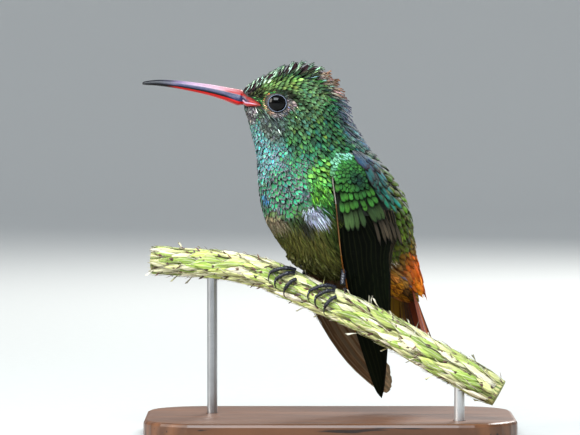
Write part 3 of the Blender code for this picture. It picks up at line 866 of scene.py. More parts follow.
# ------------------------------------------------------------------ node trees
class Tree:
    """Short ways to add nodes to a material or a group."""

    def __init__(self, tree: bpy.types.NodeTree) -> None:
        """Hold the tree."""
        self.tree = tree

    def fill(self, node: bpy.types.Node, inputs: dict) -> None:
        """Link a socket or set a plain value on each of a node's inputs, by name or number.

        Args:
            node: the node.
            inputs: a socket or value for each input.
        """
        for key, value in inputs.items():
            if isinstance(value, Socket):
                self.tree.links.new(value, node.inputs[key])
            else:
                node.inputs[key].default_value = value

    def node(self, kind: str, settings: dict | None = None, **inputs: object) -> bpy.types.Node:
        """Add a node.

        Args:
            kind: the node's type without ShaderNode.
            settings: values for the node's own attributes.
            **inputs: a socket to link or a value to set, by input name with _ for a space, or by
                number as _0 or _1.

        Returns:
            The node.
        """
        made = self.tree.nodes.new("ShaderNode" + kind)
        for name, value in (settings or {}).items():
            setattr(made, name, value)
        self.fill(made, {int(name[1:]) if name[1:].isdigit() else name.replace("_", " "): value
                         for name, value in inputs.items()})
        return made

    def math(self, kind: str, one: object, other: object = 0.0, third: object = 0.0,
             clamp: bool = False) -> Socket:
        """A sum, product or other step of arithmetic."""
        settings = {"operation": kind, "use_clamp": clamp}
        return self.node("Math", settings, _0=one, _1=other, _2=third).outputs[0]

    def times(self, one: object, other: object, clamp: bool = False) -> Socket:
        """A product."""
        return self.math("MULTIPLY", one, other, clamp=clamp)

    def plus(self, value: object, factor: object, more: object) -> Socket:
        """A value times a factor, plus more."""
        return self.math("MULTIPLY_ADD", value, factor, more)

    def less(self, one: object, other: object) -> Socket:
        """The first less the second."""
        return self.math("SUBTRACT", one, other)

    def mix(self, share: object, one: object, other: object, blend: str = "MIX") -> Socket:
        """Mix two colours.

        Args:
            share: how much of the second.
            one: the first colour.
            other: the second.
            blend: the way of mixing.

        Returns:
            The mixed colour.
        """
        made = self.node("Mix", {"data_type": "RGBA", "blend_type": blend, "clamp_factor": True})
        one, other = (each if isinstance(each, Socket) else (*each, 1.0) for each in (one, other))
        self.fill(made, {0: share, 6: one, 7: other})
        return made.outputs[2]

    def shade(self, colour: Socket, value: Socket) -> Socket:
        """A colour made darker or brighter by a value."""
        grey = self.node("CombineColor", None, _0=value, _1=value, _2=value).outputs[0]
        return self.mix(1.0, colour, grey, "MULTIPLY")

    def step(self, value: Socket, low: float | Socket, high: float | Socket) -> Socket:
        """A smooth step from 0 to 1 between two values."""
        return self.node("MapRange", {"interpolation_type": "SMOOTHSTEP"}, _0=value, _1=low, _2=high,
                         _3=0.0, _4=1.0).outputs[0]

    def attribute(self, name: str) -> Socket:
        """A colour attribute of the mesh."""
        return self.node("Attribute", {"attribute_name": name}).outputs["Color"]

    def place(self, name: str) -> list[Socket]:
        """The two parts of a UV map."""
        found = self.node("UVMap", {"uv_map": name}).outputs[0]
        return list(self.node("SeparateXYZ", None, _0=found).outputs)[:2]

    def here(self) -> Socket:
        """Object coordinates."""
        return self.node("TexCoord").outputs["Object"]

    def stretched(self, *scale: float) -> Socket:
        """Object coordinates, each part times its own scale."""
        return self.node("Mapping", None, Vector=self.here(), Scale=scale).outputs[0]

    def pair(self, one: Socket, other: Socket) -> Socket:
        """Two values as the first two parts of a vector."""
        return self.node("CombineXYZ", None, _0=one, _1=other).outputs[0]

    def noise(self, scale: float, detail: float = 3.0, vector: Socket | None = None) -> Socket:
        """Soft noise on Object coordinates, or on a given vector."""
        return self.node("TexNoise", None, Vector=vector or self.here(), Scale=scale, Detail=detail,
                         Roughness=0.55).outputs[0]

    def bump(self, height: Socket, strength: float, distance: float) -> Socket:
        """A normal from a height, with its distance in millimetres."""
        return self.node("Bump", None, Height=height, Strength=strength, Distance=distance * MM).outputs[0]


def new_group(name: str, inputs: dict[str, float | tuple], outputs: dict[str, str]) -> tuple[
        bpy.types.NodeTree, Tree, bpy.types.Node, bpy.types.Node]:
    """Start a shader node group.

    Args:
        name: the group's name.
        inputs: each input's plain value: a number, or a colour of four parts.
        outputs: each output's kind.

    Returns:
        The group, its tree helper, its input node and its output node.
    """
    group = bpy.data.node_groups.new(name, "ShaderNodeTree")
    for label, value in inputs.items():
        kind = "NodeSocketColor" if isinstance(value, tuple) else "NodeSocketFloat"
        group.interface.new_socket(label, in_out="INPUT", socket_type=kind).default_value = value
    for label, kind in outputs.items():
        group.interface.new_socket(label, in_out="OUTPUT", socket_type="NodeSocket" + kind)
    return group, Tree(group), group.nodes.new("NodeGroupInput"), group.nodes.new("NodeGroupOutput")


def new_material(name: str, **values: object) -> tuple[Material, Tree, bpy.types.Node]:
    """Start a Principled material with plain values on the shader's own sockets.

    Args:
        name: the material's name.
        **values: shader inputs by name, with _ for a space.

    Returns:
        The material, its tree helper and its shader.
    """
    made = bpy.data.materials.new(name)
    made.use_nodes = True
    shader = made.node_tree.nodes["Principled BSDF"]
    for key, value in values.items():
        shader.inputs[key.replace("_", " ")].default_value = value
    return made, Tree(made.node_tree), shader


def wire(t: Tree, shader: bpy.types.Node, colour: Socket, rough: Socket | None = None,
         normal: Socket | None = None, metal: Socket | None = None) -> None:
    """Link what a material worked out to its shader."""
    found = {"Base Color": colour, "Roughness": rough, "Normal": normal, "Metallic": metal}
    t.fill(shader, {key: value for key, value in found.items() if value is not None})


class VanePattern:
    """The pattern on every feather: barbs that slant from a shaft, a dark root that is partly painted shade
    under the feathers over it, a pale fringe, and a dark line round the edge that is a painted shadow in the
    gap between feathers.
    """

    def __init__(self) -> None:
        """Make the node group once."""
        inputs = {"Tint": (0.1, 0.3, 0.1, 1), "Fringe": (0.5, 0.5, 0.5, 1), "Edge": 0.2, "Across": 0.5,
                  "Along": 0.5, "Shaft At": 0.5, "Shaft": 0.3, "Barbs": 9.0, "Contrast": 0.35, "Root": 0.3,
                  "Outline": 0.5}
        outputs = {"Colour": "Color", "Height": "Float", "Fringe Mask": "Float"}
        self.group, t, given, out = new_group("feather_vane", inputs, outputs)
        given = list(given.outputs)[:len(inputs)]
        tint, fringe, edge, across, along, shaft_at, shaft, barbs, contrast, shaded_root, outline = given
        off = t.math("ABSOLUTE", t.less(across, shaft_at))
        near = t.times(off, 2.0)
        wave = t.math("SINE", t.times(t.times(t.plus(near, -0.7, along), barbs), 2 * pi))
        # painted shade: the root is darkened partly for its dark base and partly to stand for the shade under
        # the feathers that overlap it
        root = t.step(along, 0.25, 0.8)
        dark = t.math("ADD", t.times(root, t.less(1.0, shaded_root)), shaded_root)
        body = t.shade(tint, t.times(t.plus(wave, t.times(contrast, 0.5), 1.0), dark))
        shaft = t.times(t.step(off, 0.06, 0.015), shaft)
        body = t.mix(shaft, body, fringe)
        side = t.step(near, t.less(1.0, t.times(edge, 2.2)), 1.0)
        tip = t.step(t.plus(t.times(near, near), 0.09, along), t.less(1.0, t.times(edge, 0.7)), 1.0)
        rim = t.math("MAXIMUM", t.times(side, root), tip)
        rim = t.times(rim, t.plus(wave, 0.25, 0.8), clamp=True)
        rim = t.times(rim, t.step(edge, 0.0, 0.02))
        # painted shadow: a dark line along each feather's edge and tip stands for the shade in the gap
        # between feathers
        line = t.math("MAXIMUM", t.times(t.step(near, 0.8, 1.0), root),
                      t.step(t.plus(t.times(near, near), 0.09, along), 0.93, 1.03))
        t.fill(out, {"Colour": t.shade(t.mix(rim, body, fringe), t.less(1.0, t.times(line, outline))),
                     "Height": t.math("ADD", t.times(wave, 0.5), t.times(shaft, 2.0)), "Fringe Mask": rim})

    def material(self, name: str, barbs: float, contrast: float, root: float, shaft: float, shaft_at: float,
                 bump: float, outline: float, specular: float) -> Material:
        """A feather material that reads the tint, fringe and trait of each feather.

        Args:
            name: the material's name.
            barbs: waves along a feather.
            contrast: how dark the gaps between barbs are.
            root: brightness of the hidden root, dark for its own base and as painted shade under the feathers
                over it.
            shaft: how much the shaft shows.
            shaft_at: the shaft's place across the vane.
            bump: height of the barbs in millimetres.
            outline: how dark the painted shadow in the gap round each feather is.
            specular: how strongly it reflects.

        Returns:
            The material.
        """
        made, t, shader = new_material(name, Specular_IOR_Level=specular)
        across, along = t.place("vane")
        width, chance, gloss = t.node("SeparateColor", None, _0=t.attribute("trait")).outputs
        vane = t.node("Group", {"node_tree": self.group})
        t.fill(vane, {"Tint": t.attribute("tint"), "Fringe": t.attribute("fringe"), "Edge": width,
                      "Across": across, "Along": along, "Shaft At": shaft_at, "Shaft": shaft, "Barbs": barbs,
                      "Contrast": contrast, "Root": root, "Outline": outline})
        wire(t, shader, t.shade(vane.outputs["Colour"], t.plus(chance, 0.3, 0.85)),
             t.plus(chance, 0.12, t.plus(gloss, -0.35, 0.72)), t.bump(vane.outputs["Height"], 0.6, bump),
             t.times(gloss, t.less(1.0, vane.outputs["Fringe Mask"])))
        return made


# ------------------------------------------------------------------ markings
@dataclass(frozen=True)
class Marking:
    """A patch of plumage colour, the same on both sides of the bird.

    rung and angle are its middle, in rungs from the bill and degrees from the back, and reach is
    how far it runs each way. Tint and fringe are display colours. Edge is the fringe's width and
    gloss is how metallic the vane looks.
    """

    name: str
    rung: float
    angle: float
    reach: Pair
    tint: Colour
    fringe: Colour
    edge: float
    gloss: float


MARKINGS = (
    Marking("ground", 0, 0, (1, 1), (30, 100, 44), (84, 92, 74), 0.16, 0.4),
    Marking("mantle", 7.4, 25, (1.4, 50), (36, 78, 50), (110, 86, 92), 0.24, 0.35),
    Marking("back", 9.3, 30, (2.0, 62), (60, 88, 14), (110, 84, 58), 0.16, 0.3),
    Marking("rump", 10.9, 30, (1.2, 80), (66, 80, 12), (96, 84, 40), 0.2, 0.2),
    Marking("tail coverts", 12.85, 30, (2.0, 84), (194, 86, 5), (220, 118, 22), 0.1, 0.0),
    Marking("orange glow", 13.1, 60, (0.9, 20), (244, 140, 16), (240, 160, 50), 0.1, 0.0),
    Marking("nape", 5.5, 20, (1.5, 40), (50, 104, 96), (142, 130, 170), 0.36, 0.3),
    Marking("neck side", 5.2, 92, (1.9, 48), (60, 116, 72), (84, 88, 84), 0.18, 0.4),
    Marking("throat", 3.6, 158, (2.6, 46), (52, 142, 128), (176, 164, 188), 0.34, 0.2),
    Marking("breast", 6.2, 142, (1.5, 62), (38, 128, 88), (148, 126, 146), 0.3, 0.3),
    Marking("breast side", 6.6, 98, (0.9, 24), (96, 166, 76), (66, 110, 58), 0.16, 0.3),
    Marking("belly", 9.9, 152, (2.6, 58), (98, 98, 42), (120, 118, 70), 0.1, 0.0),
    Marking("belly front", 7.8, 176, (0.6, 22), (136, 124, 96), (180, 168, 140), 0.1, 0.0),
    Marking("flank", 9.7, 112, (1.9, 24), (48, 62, 14), (84, 96, 40), 0.14, 0.15),
    Marking("bright patch", 7.1, 114, (0.5, 12), (86, 146, 56), (66, 112, 40), 0.1, 0.2),
    Marking("blue spot", 6.45, 177, (0.3, 7), (60, 120, 156), (130, 150, 186), 0.14, 0.2),
    Marking("by the tuft", 8.3, 143, (0.55, 9), (50, 52, 38), (86, 88, 74), 0.1, 0.0),
    Marking("white tuft", 8.0, 128, (0.6, 11), (206, 212, 232), (240, 240, 250), 0.1, 0.0),
    Marking("vent", 12.1, 100, (0.9, 30), (140, 104, 48), (110, 76, 24), 0.2, 0.0),
    Marking("under tail", 13.0, 136, (1.75, 46), (178, 114, 22), (140, 82, 12), 0.2, 0.0),
    Marking("tail side", 13.1, 86, (1.2, 7), (132, 60, 24), (92, 40, 20), 0.1, 0.0),
    # painted sheen: this purple-grey band on the side of the tail coverts stands for a sheen over their
    # rufous
    Marking("tail band", 13.3, 92, (1.1, 4), (128, 104, 108), (150, 124, 124), 0.1, 0.0),
    Marking("under tail edge", 13.6, 112, (0.8, 14), (74, 48, 12), (60, 36, 10), 0.2, 0.0),
    Marking("vent fluff", 11.55, 90, (0.3, 12), (196, 176, 156), (220, 206, 190), 0.1, 0.0),
    Marking("chin", 0.9, 142, (1.1, 52), (116, 112, 114), (32, 28, 30), 0.26, 0.05),
    Marking("cheek", 2.9, 120, (1.3, 26), (80, 92, 86), (112, 120, 110), 0.16, 0.05),
    Marking("ear coverts", 3.9, 88, (0.9, 22), (74, 112, 76), (120, 136, 84), 0.18, 0.25),
    Marking("brow", 2.6, 67, (1.9, 15), (98, 128, 66), (84, 104, 58), 0.16, 0.15),
    # painted shade: a dark line where the brow's feathers fold over, standing for the shade in the crease
    Marking("brow crease", 2.9, 78, (1.4, 4.5), (22, 28, 10), (50, 70, 26), 0.15, 0.1),
    Marking("behind the brow", 3.7, 60, (0.8, 18), (84, 122, 78), (140, 150, 120), 0.2, 0.2),
    Marking("crown", 1.9, 12, (2.6, 46), (60, 32, 40), (24, 12, 20), 0.2, 0.0),
    Marking("forehead", 0.3, 40, (1.1, 56), (52, 32, 36), (24, 12, 20), 0.2, 0.0),
    Marking("hind crown", 4.15, 12, (0.8, 32), (176, 160, 150), (200, 128, 88), 0.34, 0.05),
    Marking("front of the eye", 1.25, 80, (0.8, 13), (66, 76, 40), (24, 28, 18), 0.24, 0.1),
    Marking("lore", 2.25, 97, (0.45, 8), (166, 122, 90), (196, 150, 120), 0.1, 0.0),
    Marking("eye spot", 3.3, 86, (0.13, 3.5), (190, 160, 160), (220, 200, 200), 0.1, 0.0),
)
# painted highlights: the pale mint streak colours stand for light caught on the raised crown feathers, on the
# forehead and at the hind crown
STREAK_HIGHLIGHTS = ((188, 222, 194), (144, 170, 150))                    # on the forehead, and at the hind crown
EYE_RING = ((188, 138, 104), (132, 122, 122), (60, 90, 66))    # in front, below and behind, above


class Plumage:
    """The bird's markings, which its skin and every feather share."""

    def __init__(self) -> None:
        """Turn the markings' colours into scene light."""
        self.values = [np.array([*linear(*m.tint), *linear(*m.fringe), m.edge, m.gloss]) for m in MARKINGS]

    def read(self, along: Array, across: Array) -> tuple[Array, Array, Array, Array]:
        """The colours at places on the body.

        Each marking is mixed over those before it by a smooth step of the distance to its middle,
        measured in its own reach, with irregular waves that make its border ragged. The first lies
        everywhere.

        Args:
            along: rungs from the bill.
            across: angles from the back, in radians.

        Returns:
            Tint, fringe, width of the fringe and gloss.
        """
        angle = np.degrees(folded(across))
        total = np.broadcast_to(self.values[0], (*np.shape(along), 8)).copy()
        for seed, (marking, values) in enumerate(zip(MARKINGS[1:], self.values[1:]), 3):
            long, wide = marking.reach
            far = np.hypot((along - marking.rung) / long, (angle - marking.angle) / wide)
            far = far + 0.11 * ripples(along * 1.1, angle / 22.0, seed)
            share = (1 - smooth(0.55, 1.1, far))[..., None]
            total = total * (1 - share) + values * share
        return total[..., :3], total[..., 3:6], total[..., 6], total[..., 7]


# ------------------------------------------------------------------ eyes
EYE_RADIUS, EYE_RUNG, EYE_ANGLE, EYE_SINK = 2.6, 2.93, 93.5, 1.75
LID_REACH = 2.12               # feathers keep this far from the eye's axis
LID_RADII = (2.9, 2.7, 2.52, 2.4, 2.3, 2.2, 2.1, 2.02, 1.96, 1.94, 2.0)       # from the skin to the ball
LID_HEIGHTS = (0.3, 0.6, 0.92, 1.2, 1.42, 1.62, 1.76, 1.8, 1.78, 1.68, 1.5)
# painted highlight: the two pale blue-grey rows at the rim stand for light caught along the wet edge of the
# lid
LID_COLOURS = ((24, 30, 20), (24, 30, 20), (40, 40, 34), (60, 56, 48), (96, 84, 72), (40, 38, 40),
               (30, 32, 38), (150, 164, 190), (170, 184, 206), (60, 64, 74), (10, 10, 12))
LID_TURN = np.linspace(0, 2 * pi, 96, endpoint=False)
LID_BEADS, LID_FOLDS = 26, 9                                   # how many stand round the rim


class Eyes:
    """Two round eyeballs, each set in the head so that its lids show a disc of it."""

    def __init__(self, body: Body) -> None:
        """Find the middle and the axis of each eye.

        Args:
            body: the bird's body.
        """
        angle = radians(EYE_ANGLE)
        left, right = body.point(np.full(2, EYE_RUNG), np.array([angle, -angle]))
        inwards = unit(right - left)
        self.axis = {Side.LEFT: -inwards, Side.RIGHT: inwards}
        self.middle = {Side.LEFT: left + inwards * EYE_SINK, Side.RIGHT: right - inwards * EYE_SINK}

    def frame(self, side: Side) -> tuple[Array, Array, Array]:
        """The eye's axis, its way towards the bill and its way up.

        Args:
            side: which eye.

        Returns:
            Three directions.
        """
        axis = self.axis[side]
        up = unit(np.array([0.12, 0.0, 1.0]) - axis * axis[2])
        ahead = np.cross(up, axis) * side.way
        return axis, ahead * np.sign(-ahead[0]), up

    def distance(self, points: Array) -> Array:
        """How far points lie from the nearer eye's axis, or far where they are behind the eye.

        Args:
            points: any points.

        Returns:
            Distances in millimetres.
        """
        found = []
        for side in Side:
            offset = points - self.middle[side]
            height = dot(offset, self.axis[side])
            away = np.linalg.norm(offset - height * self.axis[side], axis=-1)
            found.append(np.where(height[..., 0] > 0, away, 99.0))
        return np.minimum(*found)

    def build(self, finish: Material) -> None:
        """Make each ball as a sphere of rings round its axis, with a slight cornea.

        Args:
            finish: the eyes' material.
        """
        turn = np.linspace(0, 2 * pi, 64, endpoint=False)
        turn, tilt = np.meshgrid(turn, np.linspace(0.002, pi - 0.002, 48))
        reach = EYE_RADIUS * (1 + 0.02 * (1 - smooth(0.2, 0.75, tilt)))[..., None]
        for side in Side:
            axis, ahead, up = self.frame(side)
            around = ahead * np.cos(turn)[..., None] + up * np.sin(turn)[..., None]
            ball = (axis * np.cos(tilt)[..., None] + around * np.sin(tilt)[..., None]) * reach
            piece = mesh_object(f"eyeball_{side.value}", (self.middle[side] + ball).reshape(-1, 3),
                                outward(ball, closed_grid(*tilt.shape)), finish, "eye_gloss",
                                np.stack([turn / (2 * pi), tilt / pi], -1))
            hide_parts(f"eye_{side.value}")

    def lids(self) -> list[tuple[Array, Array, Array, Array]]:
        """A bare ring of lid round each eye.

        The profile climbs from the skin to a beaded rim, tucks under the ball and runs straight
        back to its start. It is carried round the eye's axis, with fine folds as waves of its angle.

        Returns:
            For each eye: points, faces, tint and places on the skin's unwrap.
        """
        order = np.arange(len(LID_RADII))[:, None]
        beads = 0.045 * np.sin(LID_TURN * LID_BEADS) * np.exp(-((order - 7) / 1.6) ** 2)
        folds = 0.05 * np.sin(LID_TURN * LID_FOLDS + 1.0) * np.exp(-((order - 3) / 1.5) ** 2)
        almond = 1 + 0.05 * np.cos(LID_TURN * 2) * np.exp(-order / 30)
        out = np.array(LID_RADII)[:, None] * almond
        height = np.array(LID_HEIGHTS)[:, None] + beads + folds
        dots = 1 + 3.5 * np.exp(-(order - 5.5) ** 2) * np.maximum(np.sin(LID_TURN * LID_BEADS), 0)
        tint = (palette(LID_COLOURS)[:, None] * dots[..., None]).reshape(-1, 3)
        faces = grid_quads(len(order) + 1, len(LID_TURN), True) % len(tint)
        rings = []
        for side in Side:
            axis, ahead, up = self.frame(side)
            around = ahead * np.cos(LID_TURN)[:, None] + up * np.sin(LID_TURN)[:, None]
            ring = (around * out[..., None] + axis * height[..., None]).reshape(-1, 3)
            points = self.middle[side] + ring
            rings.append((points, outward(ring, faces), tint, 0.5 + points[:, [0, 2]] * 0.001))
        return rings


GAPE_RUNGS = (0.0, 0.28, 0.73, 1.23, 1.7, 2.05)
GAPE_UPPER = (56.0, 84.0, 93.0, 98.5, 102.0, 104.5)            # angles of its edges, in degrees
GAPE_LOWER = (156.0, 146.0, 129.0, 118.0, 111.0, 106.5)


class Gape:
    """The bare wedge of horn that runs back from the bill to the corner of the mouth."""

    def __init__(self, body: Body) -> None:
        """Hold the head."""
        self.body = body

    def edges(self, along: Array) -> tuple[Array, Array]:
        """The angles of the wedge's upper and lower edge, in degrees."""
        return np.interp(along, GAPE_RUNGS, GAPE_UPPER), np.interp(along, GAPE_RUNGS, GAPE_LOWER)

    def covers(self, along: Array, across: Array) -> Array:
        """Whether places on the head lie in the wedge."""
        angle, (low, high) = np.degrees(folded(across)), self.edges(along)
        return (along < GAPE_RUNGS[-1]) & (angle > low) & (angle < high)

    def build(self, finish: Material) -> None:
        """Lay a grid between the wedge's two edges on each side.

        Its height over the head's outline is a rounded ridge that sinks to the skin at both edges,
        with a crease where the mandibles meet. Its underside lies a step below the skin.

        Args:
            finish: the wedge's material.
        """
        rungs, share = np.meshgrid(np.linspace(-0.12, GAPE_RUNGS[-1], 48), np.linspace(0, 1, 22),
                                   indexing="ij")
        low, high = self.edges(rungs)
        ridge = 1 - np.abs(2 * share - 1) ** 3
        crease = 0.12 * np.exp(-((share - 0.5) / 0.05) ** 2)
        uv = np.stack([rungs / GAPE_RUNGS[-1], share], -1)
        for side in Side:
            across = side.way * np.radians(low + (high - low) * share)
            depth = self.body.coat_depth(rungs, across)
            out, base = self.body.slopes(rungs, across)[2], self.body.point(rungs, across)
            over = base + out * ((depth + 0.02) * ridge - depth - crease)[..., None]
            under = base - out * (depth + 0.2)[..., None]
            points = np.concatenate([over, under[:, ::-1]], 1)
            quads = outward(points - points.reshape(-1, 3).mean(axis=0), closed_grid(*points.shape[:2]))
            mesh_object(f"gape_{side.value}", points.reshape(-1, 3), quads, finish, "lower_mandible",
                        np.concatenate([uv, uv[:, ::-1]], 1))


# ------------------------------------------------------------------ skin
class Skin:
    """One skin under all the feathers, with the lids and the folded arms of the wings."""

    rows, columns = 230, 150

    def __init__(self, body: Body, eyes: Eyes, wings: list["Wing"], stem: StemSheet,
                 plumage: Plumage) -> None:
        """Hold the shapes that the skin follows."""
        self.body, self.eyes, self.wings, self.stem, self.plumage = body, eyes, wings, stem, plumage

    def build(self, finish: Material) -> None:
        """Join the body's skin, the lids and the arms in one piece.

        The body's skin is its outline, less the coat's depth and the depth of the neck's creases.

        Args:
            finish: the skin's material.
        """
        along, across = np.meshgrid(np.linspace(0.0, self.body.last, self.rows),
                                    np.linspace(0, 2 * pi, self.columns, endpoint=False), indexing="ij")
        depth = self.body.coat_depth(along, across) + self.body.fold(along, across)
        grid = self.body.point(along, across) - self.body.slopes(along, across)[2] * depth[..., None]
        points, along, across = pinched(grid).reshape(-1, 3), twice(along), twice(across)
        for wing in self.wings:
            points = wing.tuck(points, 0.6)
        # painted shade: the skin takes the plumage's colours darkened to 0.35, a dark sheet that stands for
        # the shade in the gaps between feathers
        tint = self.plumage.read(along, across)[0].reshape(-1, 3) * 0.35
        parts = [(self.stem.clear(points, 0.15), closed_grid(*along.shape), tint,
                  self.body.unwrap(along, across).reshape(-1, 2))]
        points, quads, tint, places = joined(parts + self.eyes.lids() + [wing.arm() for wing in self.wings])
        made = mesh_object("skin", points, quads, finish, "back_feathers")
        set_map(made.data, "OFBake", places[quads.ravel()])
        set_colour(made.data, "tint", tint)
        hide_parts("head", "neck", "trunk", "rump_and_tail_coverts")


# ------------------------------------------------------------------ coat
@dataclass(frozen=True)
class Tract:
    """One tract of small feathers on the body, the same on both sides.

    rungs and angles are its spans, in rungs and in degrees from the back. rows is how many rows
    stand in a rung, spacing is the distance between feathers in a row. length and half_width run
    from the tract's first rung to its last, in millimetres.
    """

    name: str
    rungs: Pair
    angles: Pair
    rows: float
    spacing: float
    length: Pair
    half_width: Pair
    outline: Outline
    rise: float
    lift: Pair
    yaw: float
    unruly: float
    ragged: float
    camber: float
    slot: str
    ease: float
    jitter: float
    vary: float
    stagger: float = 0.5
    finish: str = "coat"


TRACTS = (
    Tract("crown", (0.1, 4.2), (0, 58), 5.0, 0.5, (1.8, 2.8), (0.26, 0.34), Outline.LANCE,
          0.0, (0.0, 0.1), -0.5, 0.1, 0.02, 0.5, "crown_feathers", 0.3, 0.14, 0.3),
    Tract("forehead_streaks", (0.1, 1.9), (2, 68), 3.3, 0.64, (2.2, 2.8), (0.18, 0.21), Outline.LANCE,
          0.2, (0.0, 0.25), -0.45, 0.06, 0.02, 0.4, "crown_feathers", 0.0, 0.05, 0.35, 0.0),
    Tract("crown_streaks", (1.9, 4.3), (0, 42), 3.3, 0.64, (2.8, 3.4), (0.19, 0.22), Outline.LANCE,
          0.2, (0.25, 0.55), -0.45, 0.06, 0.02, 0.4, "crown_feathers", 0.0, 0.05, 0.35, 0.0),
    Tract("hind_crown", (3.7, 5.3), (0, 56), 3.0, 0.8, (3.0, 3.6), (0.3, 0.36), Outline.LANCE,
          0.2, (0.5, 0.5), -0.2, 0.1, 0.03, 0.5, "crown_feathers", 0.0, 0.1, 0.4),
    Tract("brow", (0.3, 4.4), (52, 84), 5.0, 0.66, (1.2, 2.4), (0.34, 0.5), Outline.LEAF,
          0.05, (0.0, 0.25), -0.2, 0.05, 0.04, 0.3, "crown_feathers", 0.7, 0.08, 0.4),
    Tract("face", (0.1, 3.9), (80, 128), 6.4, 0.42, (1.2, 2.8), (0.11, 0.18), Outline.LANCE,
          0.0, (0.0, 0.1), 0.14, 0.07, 0.04, 0.25, "crown_feathers", 0.8, 0.2, 0.85),
    Tract("throat", (0.2, 5.2), (122, 180), 5.2, 0.66, (1.1, 2.3), (0.36, 0.56), Outline.SCALE,
          0.0, (0.0, 0.08), 0.0, 0.08, 0.04, 0.1, "throat_feathers", 1.0, 0.08, 0.5),
    Tract("neck", (3.4, 7.1), (46, 130), 4.2, 0.74, (2.1, 3.0), (0.44, 0.6), Outline.LEAF,
          0.0, (0.0, 0.1), 0.0, 0.09, 0.04, 0.12, "throat_feathers", 1.0, 0.08, 0.36),
    Tract("nape", (5.2, 7.0), (0, 56), 3.4, 0.85, (3.2, 3.2), (0.4, 0.6), Outline.LANCE,
          0.1, (0.3, 0.1), 0.0, 0.1, 0.03, 0.3, "back_feathers", 0.5, 0.1, 0.4),
    Tract("breast", (5.0, 7.7), (106, 180), 4.0, 0.84, (2.3, 3.1), (0.52, 0.7), Outline.SCALE,
          0.0, (0.0, 0.08), 0.0, 0.08, 0.05, 0.08, "throat_feathers", 1.0, 0.07, 0.4),
    Tract("side_tuft", (6.5, 7.5), (104, 124), 5.5, 0.5, (3.4, 4.0), (0.17, 0.21), Outline.LANCE,
          0.25, (0.3, 0.35), 0.1, 0.12, 0.04, 0.2, "throat_feathers", 0.8, 0.2, 0.5),
    Tract("belly", (7.3, 12.0), (104, 180), 6.6, 0.42, (4.2, 3.6), (0.17, 0.19), Outline.HAIR,
          0.0, (0.08, 0.05), 0.0, 0.16, 0.06, 0.2, "throat_feathers", 1.0, 0.2, 0.25, 0.5, "soft"),
    Tract("thigh", (9.6, 11.4), (150, 180), 5.0, 0.6, (4.0, 4.2), (0.2, 0.24), Outline.HAIR,
          0.4, (0.5, 0.6), 0.0, 0.2, 0.08, 0.2, "throat_feathers", 0.0, 0.2, 0.2, 0.5, "soft"),
    Tract("white_tuft", (7.62, 8.0), (123, 135), 13.0, 0.34, (3.0, 2.4), (0.12, 0.12), Outline.HAIR,
          0.3, (0.5, 0.3), 0.3, 0.3, 0.1, 0.2, "throat_feathers", 1.0, 0.2, 0.2, 0.5, "soft"),
    Tract("back", (6.6, 11.2), (0, 84), 3.0, 1.45, (3.2, 4.0), (0.8, 1.05), Outline.SCALE,
          0.0, (0.1, 0.15), 0.0, 0.12, 0.05, 0.15, "back_feathers", 1.0, 0.12, 0.4),
    Tract("flank", (7.2, 11.4), (78, 112), 4.4, 0.8, (3.2, 3.6), (0.42, 0.5), Outline.LEAF,
          0.0, (0.05, 0.1), 0.0, 0.14, 0.06, 0.2, "back_feathers", 1.0, 0.16, 0.35),
    Tract("rump", (10.8, 12.3), (0, 82), 3.0, 1.4, (4.2, 4.6), (0.95, 1.0), Outline.SCALE,
          0.0, (0.05, 0.1), 0.0, 0.1, 0.05, 0.2, "rufous_feathers", 1.0, 0.12, 0.3),
    Tract("tail_coverts", (12.0, 13.7), (0, 84), 2.6, 1.7, (6.4, 4.6), (1.3, 1.1), Outline.LEAF,
          0.1, (0.1, 0.05), 0.0, 0.06, 0.04, 0.2, "rufous_feathers", 1.0, 0.1, 0.12, 0.5, "soft"),
    Tract("tail_side", (12.3, 13.6), (82, 102), 3.0, 0.9, (5.0, 4.4), (0.6, 0.6), Outline.LANCE,
          0.0, (0.0, 0.0), -0.1, 0.04, 0.03, 0.2, "rufous_feathers", 1.0, 0.08, 0.16, 0.5, "soft"),
    Tract("vent", (11.2, 12.1), (80, 180), 5.4, 0.6, (2.6, 2.6), (0.2, 0.22), Outline.HAIR,
          0.1, (0.2, 0.1), 0.0, 0.2, 0.08, 0.2, "throat_feathers", 1.0, 0.2, 0.2, 0.5, "soft"),
    Tract("under_tail_coverts", (11.9, 13.8), (94, 180), 2.2, 1.9, (5.4, 5.0), (1.4, 1.3), Outline.SCALE,
          0.0, (0.05, 0.05), 0.0, 0.05, 0.04, 0.1, "rufous_feathers", 1.0, 0.05, 0.08, 0.5, "barred_covert"),
)
WING_COVER = ((3.0, 64.6), (8.6, 61.5), (10.6, 57.5), (12.2, 53.0), (13.2, 48.0), (13.6, 43.0),
              (12.6, 38.0), (5.2, 35.5), (4.2, 41.0), (3.4, 48.0), (2.8, 54.6),
              (2.2, 60.0))     # x and z of the outline that the near wing hides
RING_REACH, RING_COUNT = (2.24, 2.5, 2.78, 3.05), 46            # rows of feathers round an eye


def inside_outline(x: Array, z: Array, corners: tuple[Pair, ...]) -> Array:
    """Whether points lie in a polygon, by counting the edges that a line from each one crosses.

    Args:
        x: x of each point.
        z: z of each point.
        corners: the polygon's corners.

    Returns:
        True for those inside.
    """
    edges = np.array(corners)
    ends = np.roll(edges, -1, axis=0)
    x, z = x[..., None], z[..., None]
    spans = (edges[:, 1] > z) != (ends[:, 1] > z)
    reach = edges[:, 0] + (z - edges[:, 1]) * (ends[:, 0] - edges[:, 0]) / (ends[:, 1] - edges[:, 1] + 1e-9)
    return ((spans & (x < reach)).sum(axis=-1) % 2) == 1


def ramp(pair: Pair, share: float | Array) -> float | Array:
    """A value that runs from a pair's first to its second."""
    return pair[0] + (pair[1] - pair[0]) * share


